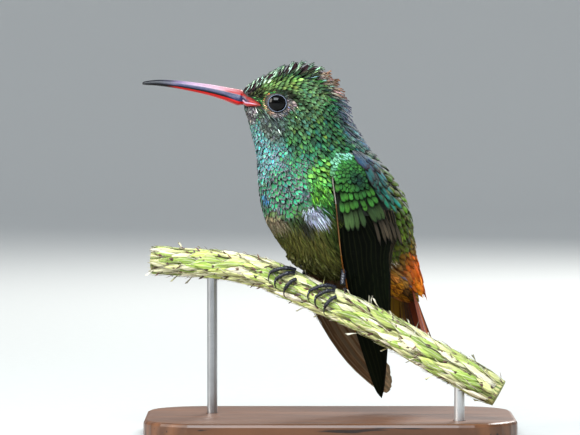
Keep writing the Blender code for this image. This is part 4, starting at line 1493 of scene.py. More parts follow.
class Coat:
    """Every small feather on the head, neck and trunk, tract by tract."""

    def __init__(self, body: Body, eyes: Eyes, gape: Gape, wings: list["Wing"], stem: StemSheet,
                 plumage: Plumage) -> None:
        """Hold the shapes that the feathers follow."""
        self.body, self.eyes, self.gape, self.wings = body, eyes, gape, wings
        self.stem, self.plumage = stem, plumage

    def roots(self, tract: Tract, draw: np.random.Generator) -> tuple[Array, Array]:
        """Places for a tract's feathers: staggered rows, evenly spaced by length along each row.

        Args:
            tract: the tract.
            draw: the source of random numbers.

        Returns:
            Rungs and angles, on both sides.
        """
        rungs = np.arange(*tract.rungs, 1 / tract.rows)
        angles = np.radians(np.linspace(*tract.angles, 60))
        steps = np.linalg.norm(np.diff(self.body.point(rungs[:, None], angles[None, :]), axis=1), axis=-1)
        reach = np.concatenate([np.zeros((len(rungs), 1)), np.cumsum(steps, axis=1)], 1)
        counts = np.maximum(np.round(reach[:, -1] / tract.spacing).astype(int), 1)
        along, across = [], []
        for side in Side:
            for number, (rung, count) in enumerate(zip(rungs, counts)):
                place = (np.arange(count) + 0.25 + tract.stagger * (number % 2)) / count * reach[number, -1]
                across.append(side.way * np.interp(place, reach[number], angles))
                along.append(np.full(count, rung))
        along, across = np.concatenate(along), np.concatenate(across)
        width = np.linalg.norm(self.body.read(along)[..., 6:8], axis=-1)
        along = along + draw.normal(0, tract.jitter / tract.rows, len(along))
        return along, across + draw.normal(0, 1.25 * tract.jitter, len(along)) * tract.spacing / width

    def eye_ring(self, finish: Material) -> None:
        """Four rings of tiny feathers round each eye, from just outside the lid.

        A place is a distance and an angle from the eye's axis. It is changed into a rung and an
        angle by steps down the slopes of the head. Each feather points tailwards and bends round
        the eye: towards it in front, and away from it behind.

        Args:
            finish: the feathers' material.
        """
        draw = np.random.default_rng(90)
        rings = len(RING_REACH)
        reach = np.repeat(RING_REACH, RING_COUNT)
        turn = np.tile(np.arange(RING_COUNT) / RING_COUNT * 2 * pi, rings)
        turn = turn + np.repeat(np.arange(rings) % 2 * 0.07, RING_COUNT)
        forward, over = np.cos(turn)[:, None], np.sin(turn)[:, None]
        spots = []
        for side in Side:
            axis, ahead, up = self.eyes.frame(side)
            ray = ahead * forward + up * over
            out = reach[:, None] + 0.45 * np.clip(forward, 0, 1)
            goal = self.eyes.middle[side] + axis * EYE_SINK + ray * out
            along, across = np.full(len(turn), EYE_RUNG), np.full(len(turn), side.way * radians(EYE_ANGLE))
            for _ in range(4):
                first, second, normal = self.body.slopes(along, across)
                miss = goal - self.body.point(along, across)
                miss = miss - axis * dot(miss, axis)
                pairs = ((first, first), (first, second), (second, second), (miss, first), (miss, second))
                ff, fs, ss, mf, ms = (dot(*pair)[..., 0] for pair in pairs)
                det = ff * ss - fs * fs
                along, across = along + (mf * ss - ms * fs) / det, across + (ms * ff - mf * fs) / det
            tail = unit(first)
            way = tail - 0.9 * forward * ray
            yaw = np.arctan2(dot(way, np.cross(tail, normal))[..., 0], dot(way, tail)[..., 0])
            spots.append(np.stack([along, across, yaw], -1))
        along, across, yaw = np.concatenate(spots).T
        count = len(along)
        fair = ~self.gape.covers(along, across)
        front, rest, above = palette(EYE_RING)
        own = rest + (front - rest) * smooth(0.1, 0.9, forward)
        own = own + (above - rest) * np.clip(over, 0, 1) * (1 - smooth(0.3, 0.9, forward))
        laid = Laid(along, across, draw.uniform(0.6, 0.85, count), draw.uniform(0.12, 0.17, count),
                    np.full(count, 0.35), draw.uniform(-0.12, 0.02, count), np.zeros(count),
                    yaw + draw.normal(0, 0.12, count), draw.normal(0, 0.1, count), np.ones(count)).keep(fair)
        self.dress("eye_ring", laid, Outline.LANCE, (0.04, 0.25, 0.5), "crown_feathers", finish, draw,
                   np.tile(own, (2, 1))[fair])

    def build(self, tract: Tract, seed: int, finish: Material) -> None:
        """Lay one tract.

        Feathers keep off the eyes, and those that point at an eye are cut short at its lid. Those
        wholly under a wing are left out.

        Args:
            tract: the tract.
            seed: its source of random numbers.
            finish: its material.
        """
        draw = np.random.default_rng(seed)
        along, across = self.roots(tract, draw)
        count = len(along)
        share = np.clip((along - tract.rungs[0]) / (tract.rungs[1] - tract.rungs[0]), 0, 1)
        deep, fold = self.body.coat_depth(along, across), self.body.fold(along, across)
        laid = Laid(along, across, ramp(tract.length, share) * draw.uniform(0.82, 1.15, count),
                    ramp(tract.half_width, share) * draw.uniform(0.85, 1.15, count), deep + fold * 0.8,
                    tract.rise + deep * draw.uniform(-0.22, 0.04, count) - fold * 0.5,
                    ramp(tract.lift, share) * draw.uniform(0.3, 1.4, count),
                    tract.yaw * np.sign(across) + draw.normal(0, tract.unruly, count),
                    draw.normal(0, 0.1, count), np.full(count, tract.ease))
        rung_length = np.linalg.norm(self.body.slopes(along, across)[0], axis=-1)
        checks = np.linspace(0, 1, 9)
        rungs = along[:, None] + checks * (laid.length / rung_length)[:, None]
        path = self.body.point(rungs, across[:, None])
        near = self.eyes.distance(path) < LID_REACH
        clear = np.where(near.any(axis=1), checks[near.argmax(axis=1)], 1.0)
        laid.length = laid.length * np.where(clear < 1, np.maximum(clear - 0.06, 0.0), 1.0)
        twin = self.body.point(along, folded(across))
        hidden = inside_outline(twin[:, 0], twin[:, 2], WING_COVER) | self.gape.covers(along, across)
        laid = laid.keep((clear > 0.35) & ~hidden & (along > 0.02))
        own = None
        if tract.name.endswith("streaks"):
            # the streak feathers take the painted highlight colours
            fore, hind = palette(STREAK_HIGHLIGHTS)
            past = smooth(3.2, 4.4, laid.along)[:, None]
            own = fore * (1 - past) + hind * past
        looks = (tract.ragged, tract.camber, tract.vary)
        self.dress(tract.name, laid, tract.outline, looks, tract.slot, finish, draw, own)

    def dress(self, name: str, laid: Laid, outline: Outline, traits: Triple, slot: str,
              finish: Material, draw: np.random.Generator, own: Array | None = None) -> None:
        """Drape feathers over the body, colour them by their roots' markings and make the piece.

        Args:
            name: the tract's name.
            laid: the feathers.
            outline: their shape.
            traits: how ragged and cambered they are, and how much their brightness varies.
            slot: the name of a material slot.
            finish: the material.
            draw: the source of random numbers.
            own: colours that replace the markings', if any.
        """
        ragged, camber, vary = traits
        points = drape(self.body, laid, outline, SMALL, 0.035, camber, ragged, draw)
        for wing in self.wings:
            points = wing.tuck(points, 0.25)
        tint, fringe, edge, gloss = self.plumage.read(laid.along, laid.across)
        kept = len(laid.along)
        shade = np.exp(draw.normal(0, vary, (kept, 1)))
        shift = draw.normal(0, 0.7, (kept, 1)) * gloss[:, None]
        tint = (tint if own is None else own) * shade * np.exp(shift * np.array([1.0, 0.15, -1.0]))
        tint = tint * draw.uniform(0.88, 1.14, (kept, 3))
        fringe = fringe * draw.uniform(0.75, 1.2, (kept, 1))
        trait = trait_rows(edge, gloss, kept, draw)
        places = self.body.unwrap(laid.along, laid.across)
        vanes = Vanes(self.stem.clear(points, 0.1), SMALL, places, tint, fringe, trait, outline.rows)
        vanes.build(name + "_coat", finish, slot)
        log.info("%s: %d feathers", name, kept)


# ------------------------------------------------------------------ wings
PRIMARY_TIPS = (10.0, 9.65, 9.25, 8.85, 8.4, 7.95, 7.5, 7.1, 6.75, 6.4)      # outermost first, in chords
FAR_PRIMARY_TIPS = (11.0, 10.7, 10.3, 9.8, 9.2, 8.6, 8.1, 7.6, 7.1, 6.6)
PRIMARY_COLOURS = ((7, 13, 4), (30, 32, 16))                   # vane and fringe
# painted light: the far wing's primaries, dark like the near ones, take a pale brown with cream fringes that
# stands for light shining through them
FAR_PRIMARY_BACKLIT_COLOURS = ((118, 90, 64), (200, 172, 136))
SECONDARY_TIPS, SECONDARY_COLOURS = (5.9, 5.7, 5.5, 5.3, 5.1, 4.8), ((26, 24, 16), (104, 90, 70))
SECONDARIES_TAPER, PRIMARIES_SHARE = (3.2, 5.0), 0.56
NOTCH_IN, NOTCH_OUT, NOTCH_DEPTH = (4.4, 5.0), (5.1, 6.2), 0.13      # where the rear edge steps in and back
EDGING = ((0.7, 3.4), (3.1, 5.2), (4.9, 7.4), (7.0, 10.8))    # stops of the strips on the leading edge
# painted light: the buff and orange strips on the near wing's leading edge, and the cream on the far wing's,
# stand for light shining through the thin outer web
EDGING_BACKLIT_COLOURS, FAR_EDGING_BACKLIT = ((150, 142, 134), (168, 118, 70), (206, 122, 30)), (222, 202, 166)
PATCH_STOP, PATCH_SHARE, PATCH_COLOUR = 1.75, 0.42, (18, 48, 44)      # a dark patch on the coverts


def blades(sheet: Sheet, root: Array, tip: Array, lead: Array, trail: Array, rise: Array, rows: Array,
           round_tip: float, thick: float, camber: float) -> Array:
    """Long feathers laid between two edge lines of a sheet.

    A row is a step from the root's stop to the tip's. Across it the vane runs from the lead share
    to the trail share, drawn in to a round tip by the root of 1 less a power of the last part.

    Args:
        sheet: the surface they follow.
        root: stop of each root.
        tip: stop of each tip.
        lead: share at the leading edge, for each feather and row.
        trail: share at the rear edge.
        rise: height over the sheet, for each feather and row.
        rows: share of the length at each row.
        round_tip: the last part of the length that rounds off.
        thick: half the thickness.
        camber: height of the middle over the edges.

    Returns:
        Points as (feather, row, ring, xyz).
    """
    u = np.array(BROAD.across)
    past = np.clip((rows - (1 - round_tip)) / round_tip, 0, 1)
    width = np.sqrt(np.maximum(1 - past ** 2.2, 0.0)) * (1 - 0.94 * (rows >= 1.0)) + 0.06 * (rows >= 1.0)
    middle, half = (lead + trail) / 2, (trail - lead) / 2 * width
    stops = (root[:, None] + (tip - root)[:, None] * rows)[..., None] * np.ones_like(u)
    across = middle[..., None] + half[..., None] * u
    height = rise[..., None] + camber * (1 - u ** 2)
    height = height + thick * np.array(BROAD.height) * (1 - 0.5 * rows[:, None])
    return sheet.point(stops, across) + sheet.slopes(stops, across)[2] * height[..., None]


@dataclass(frozen=True)
class Coverts:
    """One kind of covert: rows between two stops, each size from the first row to the last."""

    rows: int
    stops: Pair
    first: Pair                        # share of the chord where a row starts
    last: Pair                         # share where it ends
    count: Pair
    length: Pair
    half: Pair
    rise: Pair
    yaw: float                         # lean towards the rear edge
    tint: Colour
    last_tint: Colour
    fringe: Colour
    edge: float
    gloss: float
    fan: float = 0.0                   # more lean for each share of the chord
    slant: float = 0.0                 # how far a row's rear end is set back, in chords


COVERTS = (
    Coverts(1, (2.2, 2.2), (0.0, 0.0), (0.16, 0.16), (3, 3), (9.0, 9.0), (0.5, 0.5), (0.25, 0.25), 0.0,
            (14, 26, 12), (14, 26, 12), (40, 44, 24), 0.1, 0.1),
    Coverts(1, (2.95, 2.95), (0.5, 0.5), (1.0, 1.0), (6, 6), (8.4, 8.4), (0.42, 0.42), (0.82, 0.82), 0.16,
            (70, 60, 46), (70, 60, 46), (20, 17, 13), 0.22, 0.0, 0.1, 0.6),
    Coverts(1, (2.85, 2.85), (0.08, 0.08), (0.74, 0.74), (8, 8), (6.4, 6.4), (0.7, 0.7), (0.86, 0.86), 0.06,
            (62, 86, 46), (62, 86, 46), (18, 26, 12), 0.2, 0.15, 0.5, -0.8),
    Coverts(3, (2.0, 2.65), (0.03, 0.06), (0.6, 0.66), (9, 8), (2.2, 3.2), (0.52, 0.66), (0.9, 1.02), 0.0,
            (60, 126, 42), (62, 120, 44), (14, 34, 12), 0.22, 0.3, 0.5, -0.6),
    Coverts(11, (0.4, 2.0), (0.12, 0.03), (0.55, 0.6), (9, 9), (1.5, 2.0), (0.42, 0.55), (0.66, 0.9), 0.0,
            (62, 136, 66), (60, 122, 44), (12, 34, 20), 0.26, 0.3, 0.3, -0.4),
    # painted highlight: the pale mint of the smallest coverts at the wing's bend stands for light caught on
    # their green
    Coverts(9, (0.3, 1.7), (-0.05, -0.03), (0.36, 0.12), (7, 3), (1.3, 1.5), (0.4, 0.46), (0.7, 0.62), 0.0,
            (142, 214, 182), (96, 160, 104), (30, 76, 56), 0.26, 0.2),
    Coverts(8, (-0.1, 2.35), (0.42, 0.72), (1.0, 1.06), (5, 3), (4.6, 5.4), (0.5, 0.6), (0.95, 1.35), 0.22,
            (48, 84, 106), (28, 132, 100), (50, 20, 20), 0.4, 0.35),
)


class Wing:
    """One shut wing: primaries, secondaries and tertials as long blades, and rows of coverts."""

    rows = np.array([0.0, 0.12, 0.25, 0.38, 0.5, 0.6, 0.7, 0.79, 0.86, 0.92, 0.96, 0.985, 1.0])

    def __init__(self, body: Body, side: Side) -> None:
        """Set out the wing's sheet, and the left wing's, which rules where both bed into the body."""
        self.sheet, self.side, self.body = WingSheet(body, side), side, body
        self.near = WingSheet(body, Side.LEFT)

    def arm(self) -> tuple[Array, Array, Array, Array]:
        """The folded arm's skin: flat ovals round each chord, from the shoulder to below the wrist.

        Returns:
            Points, faces, tint and places on the unwrap.
        """
        along, turn = np.meshgrid(np.linspace(0.15, 3.5, 26), np.linspace(0, 2 * pi, 28, endpoint=False),
                                  indexing="ij")
        across = 0.5 - 0.46 * np.cos(turn)
        thick = 0.34 * np.sin(np.clip((along - 0.1) / 0.8, 0, 1) * pi / 2)
        out = self.sheet.slopes(along, across)[2] * (np.sin(turn) * thick)[..., None]
        points = pinched(self.sheet.point(along, across) + out).reshape(-1, 3)
        # painted shade: the arm's skin is a dark green that stands for the shade under the coverts
        return (points, outward(points - points.mean(axis=0), closed_grid(28, 28)),
                np.tile(linear(18, 34, 20), (len(points), 1)),
                twice(self.sheet.unwrap(along, across)).reshape(-1, 2))

    def tuck(self, points: Array, gap: float) -> Array:
        """Points moved in under the wing where they would stand through it.

        The right wing's points are mirrored to the left first. A point's height gives its stop and
        its x its share of the chord, and it is moved towards +Y until it is a gap behind the sheet.

        Args:
            points: any points, in an array that ends in xyz.
            gap: how far behind the sheet they are kept, in millimetres.

        Returns:
            The points, of which only those in front of the wing have moved.
        """
        left = self.side is Side.LEFT
        own = points if left else self.body.mirror(points)
        tracks = self.near.tracks
        stop = np.interp(own[..., 2], (tracks[:, 2] + tracks[:, 5] / 2)[::-1], self.near.dense[::-1])
        read = self.near.read(stop)
        share = (own[..., 0] - read[..., 0]) / read[..., 3]
        wanted = self.near.point(stop, np.clip(share, 0.0, 1.0))[..., 1] + gap
        under = (share > -0.02) & (share < 1.0) & (stop > 0.3) & (stop < 7.0) & (own[..., 1] < wanted)
        under &= (points - self.body.middle) @ self.body.left * self.side.way > 0
        own = np.stack([own[..., 0], np.where(under, wanted, own[..., 1]), own[..., 2]], -1)
        return own if left else self.body.mirror(own)

    def notch(self, stops: Array) -> Array:
        """How far the rear edge steps in behind the tips of the secondaries."""
        return NOTCH_DEPTH * smooth(*NOTCH_IN, stops) * (1 - smooth(*NOTCH_OUT, stops))

    def edge(self, stops: Array) -> Array:
        """Share of the chord where the primaries meet the secondaries."""
        return PRIMARIES_SHARE + (1 - PRIMARIES_SHARE) * smooth(*SECONDARIES_TAPER, stops) - self.notch(stops)

    def flight(self, tips: Array, root: float, first: Callable[[Array], Array],
               last: Callable[[Array], Array], width: float, heights: Pair,
               round_tip: float) -> tuple[Array, Array]:
        """Lay a fan of flight feathers side by side between two lines of the wing.

        At any stop the feathers that reach it share the space between the lines evenly, so that
        each one's tip comes out at the rear edge of those ahead of it.

        Args:
            tips: each feather's tip, outermost first, in chords.
            root: the stop of their roots.
            first: the share of the chord where the fan starts, at any stop.
            last: the share where it ends.
            width: a vane's width in millimetres.
            heights: height of the outermost and the innermost over the wing.
            round_tip: the part of each feather that rounds off.

        Returns:
            Points, and the roots' places on the unwrap.
        """
        count = len(tips)
        roots = np.full(count, root)
        stops = roots[:, None] + (tips - roots)[:, None] * self.rows
        order = np.arange(count)[:, None]
        present = np.interp(stops, tips[::-1], np.arange(count, 0, -1))
        start, end = first(stops), last(stops)
        lead = start + (end - start) * np.clip(order / np.maximum(present, 1.0), 0, 0.93)
        chord = np.linalg.norm(self.sheet.point(stops, np.ones_like(stops))
                               - self.sheet.point(stops, np.zeros_like(stops)), axis=-1)
        trail = np.minimum(lead + width / np.maximum(chord, 0.4), end + 0.02)
        rise = ramp(heights, order / (count - 1)) * (1 - 0.45 * self.rows)
        points = blades(self.sheet, roots, tips, lead, trail, rise, self.rows, round_tip, 0.07, 0.12)
        return points, self.sheet.unwrap(roots, lead[:, 0])

    def make(self, kind: str, points: Array, places: Array, colours: tuple[Array, Array], edge: float,
             gloss: float, finish: Material, draw: np.random.Generator) -> bpy.types.Object:
        """Make one kind of flight feather.

        Args:
            kind: the last part of the piece's name.
            points: the feathers' points.
            places: their roots' places on the unwrap.
            colours: their tints and fringes.
            edge: width of the fringe.
            gloss: how metallic they look.
            finish: their material.
            draw: the source of random numbers.

        Returns:
            The piece.
        """
        vanes = Vanes(points, BROAD, places, *colours, trait_rows(edge, gloss, len(points), draw), self.rows)
        return vanes.build(f"wing_{self.side.value}_{kind}", finish, "flight_feathers")

    def build(self, finishes: dict[str, Material], seed: int) -> None:
        """Lay the primaries, the strips along the leading edge, the secondaries and the coverts.

        Args:
            finishes: the feather materials by name.
            seed: source of random numbers.
        """
        draw = np.random.default_rng(seed)
        name, near, flight = self.side.value, self.side is Side.LEFT, finishes["flight"]
        tips = np.array(PRIMARY_TIPS if near else FAR_PRIMARY_TIPS)
        made = self.flight(tips, 3.3, np.zeros_like, self.edge, 3.3, (-0.3, 0.3), 0.09)
        colours = PRIMARY_COLOURS if near else FAR_PRIMARY_BACKLIT_COLOURS
        colours = varied(colours, ((0.8, 1.2), (0.7, 1.1)), len(tips), draw)
        piece = self.make("primary_feathers", *made, colours, 0.05 if near else 0.16, 0.1, flight, draw)
        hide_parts(f"wing_{name}_primaries")
        self.build_edging(finishes["coat"], draw)
        tips = np.array(SECONDARY_TIPS)
        made = self.flight(tips, 3.2, lambda stops: self.edge(stops) - 0.04,
                           lambda stops: 1.0 - self.notch(stops) * 0.6, 2.4, (0.32, 0.62), 0.16)
        colours = varied(SECONDARY_COLOURS, ((0.8, 1.25), (0.7, 1.15)), len(tips), draw)
        piece = self.make("secondary_feathers", *made, colours, 0.14, 0.1, flight, draw)
        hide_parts(f"wing_{name}_secondaries")
        self.build_coverts(finishes["covert"], draw)

    def build_edging(self, finish: Material, draw: np.random.Generator) -> None:
        """Thin stiff strips one after another along the leading edge, each from stop to stop, their buff and
        orange a painted light shining through the thin web.

        Args:
            finish: the strips' material.
            draw: the source of random numbers.
        """
        near = self.side is Side.LEFT
        tint = palette(EDGING_BACKLIT_COLOURS if near else (FAR_EDGING_BACKLIT,) * len(EDGING))
        start, end = np.array(EDGING[:len(tint)]).T
        lead = np.full((len(tint), len(self.rows)), -0.012)
        chord = self.sheet.read(start[:, None] + (end - start)[:, None] * self.rows)[..., 3]
        rise = 0.5 - 0.25 * self.rows - 0.65 * (start[:, None] > 6.5)
        points = blades(self.sheet, start, end, lead, lead + 0.25 / chord, rise, self.rows, 0.2, 0.09, 0.06)
        places = self.sheet.unwrap(start, np.zeros_like(start))
        self.make("leading_edge", points, places, (tint, tint * 0.6), 0.05, 0.0, finish, draw)

    def build_coverts(self, finish: Material, draw: np.random.Generator) -> None:
        """Rows of coverts, smallest at the bend, with the scapulars over their rear edge.

        Each kind's sizes run evenly from its first row to its last.

        Args:
            finish: the coverts' material.
            draw: the source of random numbers.
        """
        parts, colours = [], []
        for kind in COVERTS:
            for number in range(kind.rows):
                grown = number / max(kind.rows - 1, 1)
                stop, first, last, count, long, wide, high = (ramp(pair, grown) for pair in (
                    kind.stops, kind.first, kind.last, kind.count, kind.length, kind.half, kind.rise))
                count = round(count)
                share = first + (last - first) * (np.arange(count) + 0.25 + 0.5 * (number % 2)) / count
                parts.append(np.stack([
                    stop + kind.slant * (share - 0.4) + draw.normal(0, 0.05, count),
                    share + draw.normal(0, 0.01, count),
                    long * draw.uniform(0.88, 1.1, count), wide * draw.uniform(0.93, 1.08, count),
                    high + draw.uniform(-0.03, 0.03, count),
                    -self.side.way * (kind.yaw + kind.fan * (share - 0.2)) + draw.normal(0, 0.09, count),
                    np.full(count, kind.edge), np.full(count, kind.gloss)], -1))
                hue, far, fringe = palette((kind.tint, kind.last_tint, kind.fringe))
                colours.append(np.tile([*(hue + (far - hue) * grown), *fringe], (count, 1)))
        along, across, length, half, rise, yaw, edge, gloss = np.concatenate(parts).T
        tint, fringe = np.split(np.concatenate(colours), 2, axis=1)
        heart = np.exp(-((along - PATCH_STOP) / 0.55) ** 2 - ((across - PATCH_SHARE) / 0.2) ** 2)[:, None]
        tint = tint * (1 - heart) + np.array(linear(*PATCH_COLOUR)) * heart
        count = len(along)
        laid = Laid(along, across, length, half, np.full(count, -0.2), rise, draw.uniform(0.0, 0.1, count),
                    yaw, draw.normal(0, 0.05, count), np.ones(count))
        points = drape(self.sheet, laid, Outline.OBLONG, BROAD, 0.05, 0.16, 0.012, draw)
        shift = draw.normal(0, 0.3, (count, 1)) * gloss[:, None]
        tint = tint * np.exp(draw.normal(0, 0.2, (count, 1)) + shift * np.array([1.0, 0.1, -1.0]))
        vanes = Vanes(points, BROAD, self.sheet.unwrap(along, across), tint, fringe,
                      trait_rows(edge, gloss, count, draw), Outline.OBLONG.rows)
        piece = vanes.build(f"wing_{self.side.value}_covert_feathers", finish, "wing_coverts")
        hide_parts(f"wing_{self.side.value}_coverts")
        log.info("wing %s: %d coverts", self.side.value, count)


# ------------------------------------------------------------------ tail
TAIL_TIPS = (3.85, 3.95, 4.0, 4.0, 3.9, 3.4, 2.9)              # stops, from the middle feather out
TAIL_COLOURS = {
    # painted sheen: the left side's sixth feather is purple-grey, a sheen over its rufous
    Side.LEFT: ((188, 84, 26), (158, 70, 24), (164, 74, 28), (150, 68, 26), (172, 88, 32), (150, 116, 118),
                (142, 62, 26)),
    # painted shade: the right side's duller, darker browns stand for the shade on the underside of the tail
    # that shows past the left side, over its own rufous
    Side.RIGHT: ((110, 50, 22), (90, 52, 18), (96, 62, 16), (104, 72, 14), (112, 84, 16), (128, 100, 20),
                 (136, 104, 26))}
TAIL_FAN = {Side.LEFT: 0.03, Side.RIGHT: 0.24}                 # how far the outer feathers stand apart


class Tail:
    """The shut tail: long feathers on each side of its ridge."""

    rows = np.array([0.0, 0.15, 0.3, 0.45, 0.6, 0.72, 0.82, 0.9, 0.95, 0.98, 1.0])

    def __init__(self, body: Body) -> None:
        """Set out both sides."""
        self.sheets = {side: TailSheet(body, side) for side in Side}

    def build(self, finishes: dict[str, Material], seed: int) -> None:
        """Lay the feathers, the middle pair on top and the outer ones below and beyond it.

        Args:
            finishes: the feather materials by name.
            seed: source of random numbers.
        """
        draw = np.random.default_rng(seed)
        count = len(TAIL_TIPS)
        order, v = np.arange(count)[:, None], self.rows
        outer, past = order > 4, np.maximum(order - 4, 0)
        root = np.full(count, -0.6)
        rise = np.broadcast_to(0.42 - 0.2 * order, (count, len(v)))
        for side, sheet in self.sheets.items():
            fan = TAIL_FAN[side]
            lead = (0.145 * order + fan * past) * (0.35 + 0.65 * v) + 0.1 * outer
            trail = np.minimum(lead + 0.36 + 0.1 * v + (fan - 0.03) * outer,
                               1.0 + (0.17 + fan) * past * (1 - 0.4 * v))
            points = blades(sheet, root, np.array(TAIL_TIPS), lead, trail, rise, v, 0.1, 0.08, 0.1)
            tint = palette(TAIL_COLOURS[side]) * draw.uniform(0.9, 1.1, (count, 1))
            fringe = np.tile(linear(64, 36, 44), (count, 1))
            trait = trait_rows(0.1, 0.12, count, draw)
            places = sheet.unwrap(root + 0.6, lead[:, 0] + 0.05)
            for part, chosen, finish in (("inner", slice(0, 3), "rectrix"),
                                         ("outer", slice(3, count), "barred")):
                values = (each[chosen] for each in (places, tint, fringe, trait))
                piece = Vanes(points[chosen], BROAD, *values, v).build(
                    f"tail_{side.value}_{part}_feathers", finishes[finish], "rufous_feathers")
            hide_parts(f"tail_{side.value}")


# ------------------------------------------------------------------ bill
BILL = ((-21.0, 78.4, 3.85), (-24.5, 79.4, 3.1), (-28.6, 80.35, 2.55), (-35.0, 81.4, 1.95),
        (-39.5, 81.85, 1.5), (-42.4, 81.8, 1.0), (-43.2, 81.72, 0.66))      # x, z and depth
BILL_WIDTHS, BILL_HEADING = (4.2, 1.0), 5.0
BILL_ROOT_RINGS, BILL_ROOT = 5, 2.2        # rings that run back into the head, and how far
GROOVE_PLACE, SLIT_PLACE = 0.12, 0.09                          # along the bill


class Bill:
    """The two mandibles, each a half round along a curved middle line, with a slit for the nostril."""

    rows, columns = 90, 20

    def __init__(self, body: Body) -> None:
        """Find the bill's root on the head."""
        self.root = body.point(np.zeros(2), np.array([0.0, pi])).mean(axis=0)

    def build(self, finishes: dict[str, Material]) -> None:
        """Make both mandibles.

        A ring is half a circle over the flat of the gape. It is drawn in by a groove along the
        upper bill's side and by the nostril's slit near the root, and the lower edge of the upper
        bill laps over the lower one.

        Args:
            finishes: the two materials.
        """
        x, z, depth = spline(BILL, np.linspace(0, len(BILL) - 1, self.rows)).T
        share = (x - BILL[0][0]) / (BILL[-1][0] - BILL[0][0])
        width = ramp(BILL_WIDTHS, share ** 0.7)
        heading = radians(BILL_HEADING)
        path = np.stack([x, self.root[1] + (x - self.root[0]) * tan(heading), z], -1)
        along = unit(np.gradient(path, axis=0))
        side = np.array([sin(heading), -cos(heading), 0.0])
        above = unit(np.cross(along, side))
        above *= np.sign(above[:, 2:])
        inside = np.arange(BILL_ROOT_RINGS) / BILL_ROOT_RINGS
        path = np.concatenate([path[:1] - along[:1] * (1 - inside[:, None]) * BILL_ROOT, path])
        above, depth, width = (np.concatenate([np.repeat(each[:1], BILL_ROOT_RINGS, 0), each])
                               for each in (above, depth, width))
        tuck = np.concatenate([0.55 + 0.45 * inside, np.ones(self.rows)])
        depth, width = depth * tuck, width * tuck
        share = np.concatenate([np.full(BILL_ROOT_RINGS, -0.02), share])
        angle = np.linspace(0, pi, self.columns)
        arch, flat = np.sin(angle), np.linspace(1, -1, 8)[1:-1]
        upper = 0.73 + 0.02 * smooth(0.0, 0.3, share)         # the upper mandible's share of the depth
        path = path - above * (depth * (upper - 0.5))[:, None]
        groove = np.exp(-((arch - 0.5) / 0.16) ** 2) * np.exp(-((share - GROOVE_PLACE) / 0.2) ** 2)[:, None]
        slit = np.exp(-((arch - 0.34) / 0.1) ** 2) * np.exp(-((share - SLIT_PLACE) / 0.055) ** 4)[:, None]
        uv = np.stack(np.broadcast_arrays(np.concatenate([1 - arch, np.ones(len(flat))]),
                                          np.concatenate([[0.0], share, [1.0]])[:, None]), -1)
        for name, way, part, lap in (("upper", 1.0, upper, 0.05), ("lower", -1.0, 1 - upper, 0.0)):
            inset = (0.1 * groove + 0.16 * slit) * (way > 0)
            scale = 1 - inset / np.maximum(depth[:, None] / 2, 0.2) * 0.6
            rise = arch * (depth * part)[:, None] * scale - lap
            outer = (path[:, None] + above[:, None] * (way * rise)[..., None]
                     + side * (np.cos(angle) * width[:, None] / 2 * scale)[..., None])
            base = (path[:, None] + above[:, None] * way * 0.02
                    + side * (-flat * width[:, None] / 2 * 0.9)[..., None])
            ring = np.concatenate([outer, base], 1)
            middle = ring[-1:].mean(axis=1, keepdims=True)
            tip = middle + along[-1:][:, None] * 0.25 + (ring[-1:] - middle) * 0.05
            ring = np.concatenate([pinched(ring)[:-1], tip])
            quads = outward(ring - path.mean(axis=0), closed_grid(*ring.shape[:2]))
            piece = mesh_object(f"bill_{name}_horn", ring.reshape(-1, 3), quads, finishes[name],
                                f"{name}_mandible", uv)
            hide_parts(f"bill_{name}")


# ------------------------------------------------------------------ feet
GAP = 0.3                      # from the stem's sheet to the toes' soles
LEG_RADIUS, TOE_RADIUS, CLAW_RADIUS, TOE_ARCH = 0.62, 0.48, 0.3, 0.6
KNUCKLES = ((Side.LEFT, 1.3, (0.3, 1.7, 4.2)),
            (Side.RIGHT, -8.0, (0.5, 0.0, 2.4)))               # x on the stem, and the leg's way up
TOE_JOINTS = (0.36, 0.74)      # places along a toe


@dataclass(frozen=True)
class Toe:
    """A toe's angle round the stem and travel along it, where it starts, ends and its claw ends."""

    start: float
    start_travel: float
    end: float
    end_travel: float
    claw_end: float
    claw_travel: float


TOES = (Toe(10, -1.0, 68, -4.8, 108, 0.9), Toe(31, -0.5, 78, -3.0, 116, 1.0),
        Toe(52, 0.6, 98, -0.6, 136, 0.6), Toe(-18, 0.3, -74, -0.7, -114, -0.8))


